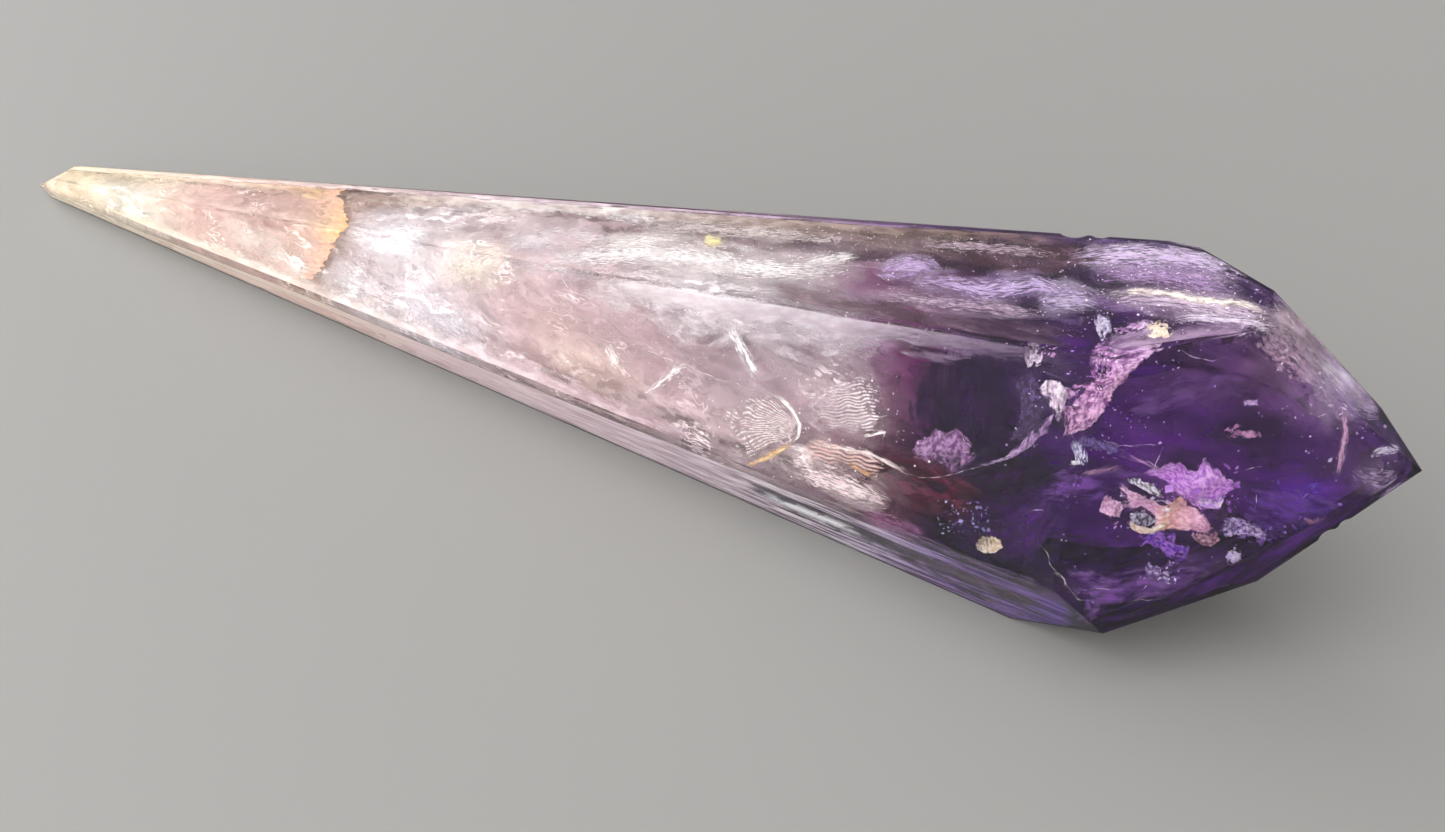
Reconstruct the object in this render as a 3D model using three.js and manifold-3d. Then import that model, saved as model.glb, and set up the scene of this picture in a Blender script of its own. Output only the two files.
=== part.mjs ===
// Amethyst point: one piece of quartz, cut and polished to a long tapering wand.
// Six side faces grow evenly wider from the thin end to the thick end, six steep faces close
// the thick end in an off-centre point, and five small faces close the thin end.
// Units are millimetres, +Z is up. The long axis runs along X with the thick end at +X, and
// the stone lies on its bottom side face. The origin is under the middle of its box.
import * as THREE from "three";
import { mergeVertices } from "three/addons/utils/BufferGeometryUtils.js";
import Module from "manifold-3d";

// Driving dimensions
const shoulderLength = 200; // along X, between the thin shoulder and the thick shoulder
const axisHeightThin = 2.8; // height of the long axis over the bottom face at the thin shoulder
const axisHeightThick = 24; // the same at the thick shoulder

// Side faces: turn is the direction a face looks, in degrees round the axis from +Y towards +Z.
// thin and thick are its distances from the long axis at the two shoulders.
const sideFaces = {
  top: { turn: 85.9, thin: 2.79, thick: 23.76 },
  frontUpper: { turn: 162.5, thin: 3.54, thick: 20.68 },
  frontLower: { turn: 197.6, thin: 2.99, thick: 25.13 },
  bottom: { turn: 270, thin: axisHeightThin, thick: axisHeightThick },
  backLower: { turn: 336, thin: 3.33, thick: 25.84 },
  backUpper: { turn: 24, thin: 3.93, thick: 21.88 },
};

// End faces: turn as above, lean is the angle between the face's outward normal and +X,
// and reach is where its plane crosses the long axis, in mm along X from the thin shoulder.
const endFaces = {
  thickFront: { turn: 160, lean: 62, reach: 237.4 },
  thickTop: { turn: 93, lean: 51.3, reach: 243.1 },
  thickBack: { turn: 39.2, lean: 64.4, reach: 251.3 },
  thickBackLow: { turn: 352, lean: 77, reach: 250.4 },
  thickUnderBack: { turn: 290, lean: 55.4, reach: 237 },
  thickUnderFront: { turn: 253.1, lean: 58.7, reach: 252.6 },
};

// Thin end: each face here passes through three corners, given as [x, y, z] from the thin
// shoulder at the foot of the long axis.
const tip = [-7.3, -1, 1.2];
const thinCorners = {
  topBack: [0.5, 3.2, 5.5],
  topFront: [-0.1, -2.8, 5.8],
  middleFront: [-0.2, -3.4, 3.7],
  footFront: [-3.3, -2, 0],
  footBack: [-2.6, 2.2, 0],
  middleBack: [0.2, 3.9, 2.6],
};
const thinFaces = {
  thinTop: ["topBack", "topFront"],
  thinFront: ["topFront", "middleFront"],
  thinLow: ["middleFront", "footFront"],
  thinUnder: ["footFront", "footBack"],
  thinBack: ["middleBack", "topBack"],
};

// Chips: shallow shell-shaped scoops on an edge. between names the two faces that meet there,
// along is the place in mm along X, radius is the scoop's curvature and depth how deep it bites.
const chips = [
  { between: ["top", "backUpper"], along: 189.5, radius: 3.2, depth: 0.6 },
  { between: ["top", "backUpper"], along: 193, radius: 2, depth: 0.35 },
  { between: ["frontLower", "bottom"], along: 52.6, radius: 2.4, depth: 0.6 },
  { between: ["thickFront", "thickUnderBack"], along: 232.1, radius: 2, depth: 0.45 },
  { between: ["thickFront", "thickUnderBack"], along: 233.6, radius: 1.5, depth: 0.3 },
  { between: ["backUpper", "backLower"], along: 146, radius: 4, depth: 0.6 },
  { between: ["backLower", "bottom"], along: 88, radius: 2.6, depth: 0.45 },
];
const chipDetail = 4; // subdivision of each scoop's ball

const sameCorner = 0.05; // corners nearer than this in mm are one corner
const slack = 1e-3; // how far outside a face a corner may be and still count

const radians = (degrees) => THREE.MathUtils.degToRad(degrees);
const axisPoint = (x) =>
  new THREE.Vector3(x, 0, THREE.MathUtils.lerp(axisHeightThin, axisHeightThick, x / shoulderLength));

// Plane of a side face: it keeps one direction round the axis, and leans with the taper.
function sidePlane({ turn, thin, thick }) {
  const out = new THREE.Vector3(0, Math.cos(radians(turn)), Math.sin(radians(turn)));
  const nearPoint = axisPoint(0).addScaledVector(out, thin);
  const farPoint = axisPoint(shoulderLength).addScaledVector(out, thick);
  const along = farPoint.sub(nearPoint);
  const across = new THREE.Vector3(0, -out.z, out.y);
  const normal = new THREE.Vector3().crossVectors(across, along).normalize();
  if (normal.dot(out) < 0) normal.negate();
  return new THREE.Plane().setFromNormalAndCoplanarPoint(normal, nearPoint);
}

// Plane of an end face, from the way it looks and where it crosses the axis.
function endPlane({ turn, lean, reach }) {
  const side = Math.sin(radians(lean));
  const normal = new THREE.Vector3(
    Math.cos(radians(lean)),
    side * Math.cos(radians(turn)),
    side * Math.sin(radians(turn)),
  );
  return new THREE.Plane().setFromNormalAndCoplanarPoint(normal, axisPoint(reach));
}

// Plane through the tip and two corners of the thin end, facing away from the stone's middle.
function thinPlane([first, second]) {
  const plane = new THREE.Plane().setFromCoplanarPoints(
    new THREE.Vector3(...tip),
    new THREE.Vector3(...thinCorners[first]),
    new THREE.Vector3(...thinCorners[second]),
  );
  if (plane.distanceToPoint(axisPoint(shoulderLength / 2)) > 0) plane.negate();
  return plane;
}

const planes = {};
for (const [name, face] of Object.entries(sideFaces)) planes[name] = sidePlane(face);
for (const [name, face] of Object.entries(endFaces)) planes[name] = endPlane(face);
for (const [name, corners] of Object.entries(thinFaces)) planes[name] = thinPlane(corners);

// Point where three planes meet, or null where two of them are parallel.
function meetingPoint(a, b, c) {
  const bc = new THREE.Vector3().crossVectors(b.normal, c.normal);
  const spread = a.normal.dot(bc);
  if (Math.abs(spread) < 1e-9) return null;
  const ca = new THREE.Vector3().crossVectors(c.normal, a.normal);
  const ab = new THREE.Vector3().crossVectors(a.normal, b.normal);
  return bc
    .multiplyScalar(-a.constant)
    .addScaledVector(ca, -b.constant)
    .addScaledVector(ab, -c.constant)
    .divideScalar(spread);
}

// Corners of the stone: where three faces meet with no other face cutting the point away.
function stoneCorners() {
  const list = Object.entries(planes);
  const corners = [];
  list.forEach(([nameA, a], i) =>
    list.slice(i + 1).forEach(([nameB, b], j) =>
      list.slice(i + j + 2).forEach(([nameC, c]) => {
        const point = meetingPoint(a, b, c);
        if (!point || list.some(([, plane]) => plane.distanceToPoint(point) > slack)) return;
        const known = corners.find((corner) => corner.point.distanceTo(point) < sameCorner);
        const corner = known ?? { point, faces: new Set() };
        for (const name of [nameA, nameB, nameC]) corner.faces.add(name);
        if (!known) corners.push(corner);
      }),
    ),
  );
  return corners;
}

// Closed mesh of the faceted stone: each face is a fan over its corners, in order round it.
function facetedGeometry() {
  const corners = stoneCorners();
  const positions = [];
  for (const [name, plane] of Object.entries(planes)) {
    const around = corners.filter((corner) => corner.faces.has(name)).map((corner) => corner.point);
    if (around.length < 3) continue;
    const middle = new THREE.Vector3();
    for (const point of around) middle.addScaledVector(point, 1 / around.length);
    const first = new THREE.Vector3().subVectors(around[0], middle).normalize();
    const second = new THREE.Vector3().crossVectors(plane.normal, first);
    const angle = (point) => {
      const arm = new THREE.Vector3().subVectors(point, middle);
      return Math.atan2(arm.dot(second), arm.dot(first));
    };
    around.sort((p, q) => angle(p) - angle(q));
    for (let i = 1; i + 1 < around.length; i++)
      for (const point of [around[0], around[i], around[i + 1]]) positions.push(...point.toArray());
  }
  const geometry = new THREE.BufferGeometry();
  geometry.setAttribute("position", new THREE.Float32BufferAttribute(positions, 3));
  return geometry;
}

// Ball that takes a chip out of the edge between two faces.
function chipGeometry({ between, along, radius, depth }) {
  const [a, b] = between.map((name) => planes[name]);
  const across = new THREE.Plane(new THREE.Vector3(1, 0, 0), -along);
  const onEdge = meetingPoint(a, b, across);
  const out = new THREE.Vector3().addVectors(a.normal, b.normal).normalize();
  const centre = onEdge.addScaledVector(out, radius - depth);
  return new THREE.IcosahedronGeometry(radius, chipDetail).translate(...centre.toArray());
}

const wasm = await Module();
wasm.setup();

function solidOf(geometry) {
  const bare = geometry.clone();
  bare.deleteAttribute("normal");
  bare.deleteAttribute("uv");
  const merged = mergeVertices(bare, 1e-4);
  return new wasm.Manifold(
    new wasm.Mesh({
      numProp: 3,
      vertProperties: merged.attributes.position.array,
      triVerts: new Uint32Array(merged.index.array),
    }),
  );
}

function geometryOf(solid) {
  const { vertProperties, triVerts } = solid.getMesh();
  const geometry = new THREE.BufferGeometry();
  geometry.setAttribute("position", new THREE.BufferAttribute(vertProperties, 3));
  geometry.setIndex(new THREE.BufferAttribute(triVerts, 1));
  geometry.computeVertexNormals();
  return geometry;
}

// The stone, with its chips taken out and its box centred over the origin.
function stoneGeometry() {
  let solid = solidOf(facetedGeometry());
  for (const chip of chips) solid = solid.subtract(solidOf(chipGeometry(chip)));
  const geometry = geometryOf(solid);
  geometry.computeBoundingBox();
  const { min, max } = geometry.boundingBox;
  return geometry.translate(-(min.x + max.x) / 2, -(min.y + max.y) / 2, -min.z);
}

const amethyst = new THREE.MeshStandardMaterial({ color: 0x9a6fae, roughness: 0.08, metalness: 0 });
const point = new THREE.Mesh(stoneGeometry(), amethyst);
point.name = "amethyst_point";

const part = new THREE.Group();
part.add(point);

export default part;
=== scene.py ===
import math

import bmesh
import bpy
import numpy as np
from mathutils import Matrix


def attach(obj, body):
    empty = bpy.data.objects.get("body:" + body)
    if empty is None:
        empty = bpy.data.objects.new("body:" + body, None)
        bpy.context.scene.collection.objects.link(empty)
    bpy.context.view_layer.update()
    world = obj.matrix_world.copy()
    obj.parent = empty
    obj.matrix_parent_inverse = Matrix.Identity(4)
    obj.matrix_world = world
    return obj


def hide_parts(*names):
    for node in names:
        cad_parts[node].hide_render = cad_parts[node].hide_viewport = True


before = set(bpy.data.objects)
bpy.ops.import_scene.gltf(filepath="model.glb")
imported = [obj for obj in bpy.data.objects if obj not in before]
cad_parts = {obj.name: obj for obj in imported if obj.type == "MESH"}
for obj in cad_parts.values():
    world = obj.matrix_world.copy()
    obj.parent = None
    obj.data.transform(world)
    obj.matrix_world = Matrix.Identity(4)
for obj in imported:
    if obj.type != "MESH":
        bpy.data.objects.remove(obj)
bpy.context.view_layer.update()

body = "root"
stoneNode = "amethyst_point"
mm = 0.001
photoWidth, photoHeight = 1445, 832
quartzIor = 1.544

# Where the photograph was taken from: place in millimetres, angles in degrees, focal length in photo pixels
view = {
    "place": (90.0, -132.9, 155.8),
    "pitch": 46.21,
    "yaw": -25.37,
    "roll": -0.13,
    "focal": 1300,
}

# The room: a pale floor and sky, and two wide soft glows, one high behind the stone and one in front
studio = {
    "floorSize": 3.0,
    "floorGap": 0.0002,
    "floorColour": (0.122, 0.12, 0.117),
    "floorRoughness": 0.7,
    "skyColour": (1.0, 0.99, 0.975),
    "skyBase": 0.36,
    # direction, where the glow starts and is full as a cosine, strength
    "glows": (
        ((-0.72, -0.10, 0.68), (0.62, 0.97), 5.6),
        ((-0.20, -0.82, 0.53), (0.25, 0.95), 3.6),
    ),
}


# Shader helpers

def newMaterial(name, roughness, gloss=0.5):
    # a material of one Principled shader, which comes back with its node tree
    material = bpy.data.materials.new(name)
    material.use_nodes = True
    tree = material.node_tree
    tree.nodes.clear()
    out = tree.nodes.new("ShaderNodeOutputMaterial")
    shader = tree.nodes.new("ShaderNodeBsdfPrincipled")
    shader.inputs["Roughness"].default_value = roughness
    shader.inputs["Specular IOR Level"].default_value = gloss
    tree.links.new(shader.outputs[0], out.inputs["Surface"])
    return material, tree, shader


def clearMaterial(name, values):
    # see-through by plain transmission, tinted by plain absorption in its volume
    material, tree, shader = newMaterial(name, values["roughness"])
    shader.inputs["Base Color"].default_value = (1, 1, 1, 1)
    shader.inputs["IOR"].default_value = values["ior"]
    shader.inputs["Transmission Weight"].default_value = 1.0
    absorb = tree.nodes.new("ShaderNodeVolumeAbsorption")
    absorb.inputs["Color"].default_value = (*values["absorbed"], 1)
    absorb.inputs["Density"].default_value = values["density"]
    tree.links.new(absorb.outputs[0], tree.nodes["Material Output"].inputs["Volume"])
    return material, tree, shader


def feed(tree, socket, value):
    if isinstance(value, bpy.types.NodeSocket):
        tree.links.new(value, socket)
    elif isinstance(value, (tuple, list, np.ndarray)) and len(value) == 3 and socket.type == "RGBA":
        socket.default_value = (*value, 1)
    else:
        socket.default_value = value


def maths(tree, operation, first, second=0.0, clamp=False):
    node = tree.nodes.new("ShaderNodeMath")
    node.operation = operation
    node.use_clamp = clamp
    feed(tree, node.inputs[0], first)
    feed(tree, node.inputs[1], second)
    return node.outputs[0]


def mixed(tree, share, first, second):
    node = tree.nodes.new("ShaderNodeMix")
    node.data_type = "RGBA"
    feed(tree, node.inputs["Factor"], share)
    feed(tree, node.inputs[6], first)
    feed(tree, node.inputs[7], second)
    return node.outputs[2]


def stepped(tree, value, low, high):
    # 0 below low, 1 above high, smooth between them
    node = tree.nodes.new("ShaderNodeMapRange")
    node.interpolation_type = "SMOOTHSTEP"
    feed(tree, node.inputs["Value"], value)
    feed(tree, node.inputs["From Min"], low)
    feed(tree, node.inputs["From Max"], high)
    return node.outputs["Result"]


def noise(tree, vector, scale, detail, roughness=0.55):
    node = tree.nodes.new("ShaderNodeTexNoise")
    feed(tree, node.inputs["Vector"], vector)
    feed(tree, node.inputs["Scale"], scale)
    feed(tree, node.inputs["Detail"], detail)
    feed(tree, node.inputs["Roughness"], roughness)
    return node.outputs


def vectorMaths(tree, operation, *values):
    node = tree.nodes.new("ShaderNodeVectorMath")
    node.operation = operation
    for socket, value in zip(node.inputs, values):
        feed(tree, socket, value)
    return node.outputs


def newGroup(name, inputs):
    # a shared effect: named number inputs after the vector, one mask out
    group = bpy.data.node_groups.new(name, "ShaderNodeTree")
    group.interface.new_socket("Vector", in_out="INPUT", socket_type="NodeSocketVector")
    for label, value in inputs.items():
        socket = group.interface.new_socket(label, in_out="INPUT", socket_type="NodeSocketFloat")
        socket.default_value = value
    group.interface.new_socket("Mask", in_out="OUTPUT", socket_type="NodeSocketFloat")
    source = group.nodes.new("NodeGroupInput")
    sink = group.nodes.new("NodeGroupOutput")
    return group, source.outputs, sink.inputs["Mask"]


def grainVector(group, vector, stretch):
    # squeezed along the stone, so that patterns run lengthwise
    parts = group.nodes.new("ShaderNodeSeparateXYZ")
    feed(group, parts.inputs[0], vector)
    joined = group.nodes.new("ShaderNodeCombineXYZ")
    feed(group, joined.inputs[0], maths(group, "DIVIDE", parts.outputs[0], stretch))
    feed(group, joined.inputs[1], parts.outputs[1])
    feed(group, joined.inputs[2], parts.outputs[2])
    return joined.outputs[0]


def cottonGroup():
    # soft billows
    values = {"Size": 3.0, "Stretch": 1.5, "Low": 0.4, "High": 0.6, "Detail": 3.0, "Fray": 0.6}
    group, sources, sink = newGroup("cotton", values)
    vector = grainVector(group, sources["Vector"], sources["Stretch"])
    finer = maths(group, "DIVIDE", 1.0, sources["Size"])
    field = noise(group, vector, finer, sources["Detail"], sources["Fray"])["Fac"]
    group.links.new(stepped(group, field, sources["Low"], sources["High"]), sink)
    return group


def fibreGroup():
    # thin bright threads where a field crosses its middle value
    group, sources, sink = newGroup("fibres", {"Size": 2.0, "Stretch": 5.0, "Width": 0.02})
    vector = grainVector(group, sources["Vector"], sources["Stretch"])
    field = noise(group, vector, maths(group, "DIVIDE", 1.0, sources["Size"]), 2.0, 0.6)["Fac"]
    off = maths(group, "ABSOLUTE", maths(group, "SUBTRACT", field, 0.5))
    thread = maths(group, "SUBTRACT", 1.0, stepped(group, off, 0.0, sources["Width"]))
    group.links.new(thread, sink)
    return group


def fleckGroup():
    # small bright grains: the cores of random cells
    group, sources, sink = newGroup("flecks", {"Size": 0.8, "Stretch": 1.5, "Core": 0.25})
    vector = grainVector(group, sources["Vector"], sources["Stretch"])
    cells = group.nodes.new("ShaderNodeTexVoronoi")
    feed(group, cells.inputs["Vector"], vector)
    feed(group, cells.inputs["Scale"], maths(group, "DIVIDE", 1.0, sources["Size"]))
    low = maths(group, "MULTIPLY", sources["Core"], 0.5)
    core = maths(group, "SUBTRACT", 1.0, stepped(group, cells.outputs["Distance"], low, sources["Core"]))
    group.links.new(core, sink)
    return group


groups = {"cotton": cottonGroup(), "fibres": fibreGroup(), "flecks": fleckGroup()}


def mask(tree, kind, vector, **values):
    node = tree.nodes.new("ShaderNodeGroup")
    node.node_tree = groups[kind]
    feed(tree, node.inputs["Vector"], vector)
    for label, value in values.items():
        feed(tree, node.inputs[label], value)
    return node.outputs["Mask"]


def attribute(tree, name, output):
    node = tree.nodes.new("ShaderNodeAttribute")
    node.attribute_name = name
    return node.outputs[output]


def objectVector(tree, warp=0.0):
    # object coordinates in millimetres, pushed about by a wide noise so that patterns swirl
    warpSize = 4.0
    source = tree.nodes.new("ShaderNodeTexCoord").outputs["Object"]
    scaled = vectorMaths(tree, "MULTIPLY", source, (1 / mm,) * 3)[0]
    if not warp:
        return scaled
    wide = noise(tree, scaled, 1 / warpSize, 1.0, roughness=0.5)["Color"]
    return vectorMaths(tree, "MULTIPLY_ADD", wide, (warp,) * 3, scaled)[0]


# Camera and light

def cameraAxes():
    # forward, right and up of the camera, from its pitch below the horizon and its turn from +Y
    pitch, yaw, roll = (math.radians(view[key]) for key in ("pitch", "yaw", "roll"))
    forward = np.array([
        math.sin(yaw) * math.cos(pitch),
        math.cos(yaw) * math.cos(pitch),
        -math.sin(pitch),
    ])
    level = np.array([math.cos(yaw), -math.sin(yaw), 0.0])
    over = np.cross(level, forward)
    right = math.cos(roll) * level + math.sin(roll) * over
    up = math.cos(roll) * over - math.sin(roll) * level
    return forward, right, up


def makeCamera():
    forward, right, up = cameraAxes()
    data = bpy.data.cameras.new("photoCamera")
    data.sensor_width = 36.0
    data.lens = view["focal"] / photoWidth * data.sensor_width
    data.clip_start = 0.005
    camera = bpy.data.objects.new("photoCamera", data)
    bpy.context.scene.collection.objects.link(camera)
    turn = Matrix((right, up, -forward)).transposed().to_4x4()
    place = [mm * value for value in view["place"]]
    camera.matrix_world = Matrix.Translation(place) @ turn
    bpy.context.scene.camera = camera


def skyGlow(tree, ray, aim, spread, strength):
    # brighter towards one direction, with a soft edge
    towards = vectorMaths(tree, "DOT_PRODUCT", ray, np.array(aim) / np.linalg.norm(aim))["Value"]
    return maths(tree, "MULTIPLY", stepped(tree, towards, *spread), strength)


def makeSky(scene):
    world = bpy.data.worlds.new("paleSky")
    scene.world = world
    world.use_nodes = True
    world.cycles.sampling_method = "NONE"
    tree = world.node_tree
    sky = tree.nodes["Background"]
    feed(tree, sky.inputs["Color"], studio["skyColour"])
    ray = tree.nodes.new("ShaderNodeTexCoord").outputs["Generated"]
    total = studio["skyBase"]
    for glow in studio["glows"]:
        total = maths(tree, "ADD", skyGlow(tree, ray, *glow), total)
    feed(tree, sky.inputs["Strength"], total)


def makeStudio():
    scene = bpy.context.scene
    scene.view_settings.view_transform = "Standard"
    scene.cycles.max_bounces = 20
    scene.cycles.transmission_bounces = 20
    scene.cycles.glossy_bounces = 6
    scene.cycles.diffuse_bounces = 5
    scene.cycles.transparent_max_bounces = 48
    makeSky(scene)
    half = studio["floorSize"] / 2
    low = -studio["floorGap"]
    corners = [(-half, -half, low), (half, -half, low), (half, half, low), (-half, half, low)]
    mesh = bpy.data.meshes.new("paleFloor")
    mesh.from_pydata(corners, [], [(0, 1, 2, 3)])
    floor = bpy.data.objects.new("paleFloor", mesh)
    scene.collection.objects.link(floor)
    material, tree, shader = newMaterial("paleFloor", studio["floorRoughness"])
    feed(tree, shader.inputs["Base Color"], studio["floorColour"])
    mesh.materials.append(material)


makeCamera()
makeStudio()
print("camera and studio ready")


# The stone's flat faces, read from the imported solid, in millimetres. Triangles belong to one face where the
# cosine between them is above "alike" and their offsets differ by less than "level". Chips are below "least"
faceSearch = {
    "alike": 0.9998,
    "level": 0.1,
    "least": 4,
}


def stoneFaces():
    # outward normals and offsets of the flat faces, largest first
    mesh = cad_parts[stoneNode].data
    places = np.zeros(len(mesh.vertices) * 3)
    mesh.vertices.foreach_get("co", places)
    places = places.reshape(-1, 3) / mm
    mesh.calc_loop_triangles()
    corners = np.zeros(len(mesh.loop_triangles) * 3, np.int32)
    mesh.loop_triangles.foreach_get("vertices", corners)
    a, b, c = places[corners.reshape(-1, 3)].transpose(1, 0, 2)
    cross = np.cross(b - a, c - a)
    area = np.linalg.norm(cross, axis=1) / 2
    normals = cross / np.maximum(2 * area, 1e-12)[:, None]
    offsets = (normals * a).sum(1)
    found = []
    for i in np.argsort(-area):
        known = [
            face for face in found
            if face[0] @ normals[i] > faceSearch["alike"]
            and abs(face[1] - offsets[i]) < faceSearch["level"]
        ]
        if known:
            known[0][2] += area[i]
        else:
            found.append([normals[i], offsets[i], area[i]])
    found = [face for face in found if face[2] > faceSearch["least"]]
    return np.array([face[0] for face in found]), np.array([face[1] for face in found])


faceNormals, faceOffsets = stoneFaces()
print("stone faces found:", len(faceOffsets))


# Places in the stone

def seenInside(pixels, depth):
    # the ray through a photo pixel enters the stone, bends by Snell's law, and goes on to a depth under the
    # face it came through
    pixels = np.asarray(pixels, float)
    depth = np.broadcast_to(np.asarray(depth, float), pixels.shape[:-1])
    forward, right, up = cameraAxes()
    camera = np.array(view["place"])
    across = (pixels[..., 0] - photoWidth / 2) / view["focal"]
    down = (pixels[..., 1] - photoHeight / 2) / view["focal"]
    ray = across[..., None] * right - down[..., None] * up + forward
    ray /= np.linalg.norm(ray, axis=-1, keepdims=True)
    facing = ray @ faceNormals.T
    reach = (faceOffsets - faceNormals @ camera) / facing
    reach = np.where(facing < 0, reach, -np.inf)
    face = reach.argmax(-1)
    length = np.take_along_axis(reach, face[..., None], -1)
    normal = faceNormals[face]
    cosine = -(ray * normal).sum(-1, keepdims=True)
    ratio = 1 / quartzIor
    bent = ratio * ray + (ratio * cosine - np.sqrt(1 - ratio**2 * (1 - cosine**2))) * normal
    sink = -(bent * normal).sum(-1, keepdims=True)
    return camera + ray * length + bent * (depth[..., None] / sink), normal


def keepInside(points, margin):
    # a point past a face, less the margin, moves straight back onto it; three rounds settle the edges
    for _ in range(3):
        excess = points @ faceNormals.T - (faceOffsets - margin)
        worst = excess.argmax(-1)
        push = np.maximum(np.take_along_axis(excess, worst[..., None], -1), 0)
        points = points - push * faceNormals[worst]
    return points


def softWaves(points, size, seed):
    # a smooth random field near -1 to 1: the sum of plane waves of random direction and phase, with lengths
    # from shortest to longest times the given size
    count, shortest, longest, height = 28, 0.7, 1.6, 0.9
    random = np.random.default_rng(seed)
    waves = random.normal(size=(3, count))
    waves /= np.linalg.norm(waves, axis=0)
    waves *= 2 * np.pi / (size * random.uniform(shortest, longest, count))
    phases = random.uniform(0, 2 * np.pi, count)
    return np.sin(points @ waves + phases).sum(-1) / math.sqrt(count) * height


# The long axis through the middle of the stone, from the thin tip to the thick point
axis = {
    "x": (-123.7, -116.4, 83.6, 123.7),
    "y": (0.67, 1.67, 1.67, 4.37),
    "z": (1.2, 2.8, 24.0, 31.1),
}


def axisPoints(x):
    y = np.interp(x, axis["x"], axis["y"])
    z = np.interp(x, axis["x"], axis["z"])
    return np.stack([x, y, z], -1)


def awayFromAxis(turn):
    # the direction square to X at an angle from +Y towards +Z
    return np.stack([np.zeros_like(turn), np.cos(turn), np.sin(turn)], -1)


def sectionRadius(x, turn, rounding=0):
    # how far the surface is from the axis: the nearest face along the turn, or a rounded blend of the faces,
    # which is 1 over the rounding-th root of the sum of the faces' (1 / distance) to that power
    leastSlope, leastRoom = 1e-9, 0.02
    slope = awayFromAxis(turn) @ faceNormals.T
    room = np.maximum(faceOffsets - axisPoints(x) @ faceNormals.T, leastRoom)
    near = np.maximum(slope[None], leastSlope) / room[:, None]
    if rounding:
        return (near**rounding).sum(-1) ** (-1 / rounding)
    return 1 / near.max(-1)


# Meshes from numpy arrays

def gridQuads(number):
    # the four corners of each cell of a grid of vertex numbers
    return np.stack([number[:-1, :-1], number[:-1, 1:], number[1:, 1:], number[1:, :-1]], -1).reshape(-1, 4)


def makeMesh(name, points, faces, values=None):
    # points in millimetres; values are vertex attributes: one number each, or a colour
    mesh = bpy.data.meshes.new(name)
    mesh.from_pydata((np.asarray(points) * mm).tolist(), [], [list(f) for f in faces])
    for key, value in (values or {}).items():
        value = np.asarray(value, np.float32)
        if value.ndim == 1:
            mesh.attributes.new(key, "FLOAT", "POINT").data.foreach_set("value", value)
        else:
            full = np.concatenate([value, np.ones((len(value), 1), np.float32)], 1)
            mesh.attributes.new(key, "FLOAT_COLOR", "POINT").data.foreach_set("color", full.ravel())
    mesh.polygons.foreach_set("use_smooth", np.ones(len(mesh.polygons), bool))
    mesh.update()
    return mesh


def showPiece(name, mesh, material):
    mesh.materials.clear()
    mesh.materials.append(material)
    piece = bpy.data.objects.new(name, mesh)
    bpy.context.scene.collection.objects.link(piece)
    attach(piece, body)
    return piece


def closedTube(rings):
    # rings of points that turn from +Y to +Z about +X, closed by a point at each end
    rows, columns = rings.shape[:2]
    number = np.arange(rows * columns).reshape(rows, columns)
    number = np.concatenate([number, number[:, :1]], 1)
    quads = gridQuads(number)
    first, last = rows * columns, rows * columns + 1
    startFan = np.stack([np.full(columns, first), number[0, 1:], number[0, :-1]], -1)
    endFan = np.stack([np.full(columns, last), number[-1, :-1], number[-1, 1:]], -1)
    points = np.concatenate([rings.reshape(-1, 3), [rings[0].mean(0)], [rings[-1].mean(0)]])
    return points, quads.tolist() + startFan.tolist() + endFan.tolist()


def thinBody(points, outward, thickness):
    # a grid of points becomes a closed leaf: two skins, thickest in the middle, that meet at the rim
    rows, columns = points.shape[:2]
    down = np.sin(np.pi * np.linspace(0, 1, rows)) ** 0.5
    along = np.sin(np.pi * np.linspace(0, 1, columns)) ** 0.5
    lift = outward * (down[:, None] * along[None] * thickness / 2)[..., None]
    number = np.arange(rows * columns).reshape(rows, columns)
    inner = np.zeros((rows, columns), bool)
    inner[1:-1, 1:-1] = True
    behind = number.copy()
    behind[inner] = rows * columns + np.arange(inner.sum())
    verts = np.concatenate([(points + lift).reshape(-1, 3), (points - lift)[inner]])
    source = np.concatenate([np.arange(rows * columns), number[inner]])
    front = gridQuads(number)
    back = gridQuads(behind)[:, ::-1]
    a, b, c = verts[front[:, 0]], verts[front[:, 1]], verts[front[:, 2]]
    facing = (np.cross(b - a, c - a) * outward.reshape(-1, 3)[front[:, 0]]).sum()
    if facing < 0:
        front, back = front[:, ::-1], back[:, ::-1]
    return verts, np.concatenate([front, back]), source


def alongLine(knots, count):
    # evenly spaced points on a line through the knots
    knots = np.asarray(knots, float)
    steps = np.linalg.norm(np.diff(knots, axis=0), axis=1)
    at = np.concatenate([[0], np.cumsum(steps)])
    spots = np.linspace(0, at[-1], count)
    return np.stack([np.interp(spots, at, knots[:, i]) for i in range(knots.shape[1])], -1)


def linear(colour):
    # screen values from 0 to 255 to the linear light that shaders use
    share = np.asarray(colour, float) / 255
    return np.where(share <= 0.04045, share / 12.92, ((share + 0.055) / 1.055) ** 2.4)


# Clear quartz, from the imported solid, with softly rounded edges. Lengths in millimetres, angles in degrees
quartz = {
    "absorbed": (0.86, 0.66, 0.84),
    "density": 4.0,
    "ior": quartzIor,
    "roughness": 0.02,
    "edge": 0.22,
    "sharp": 8.0,
    "merge": 0.002,
    "level": 0.4,
    "waviness": 0.02,
    "waveSize": 5.0,
    "waveStrength": 0.5,
}


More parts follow.
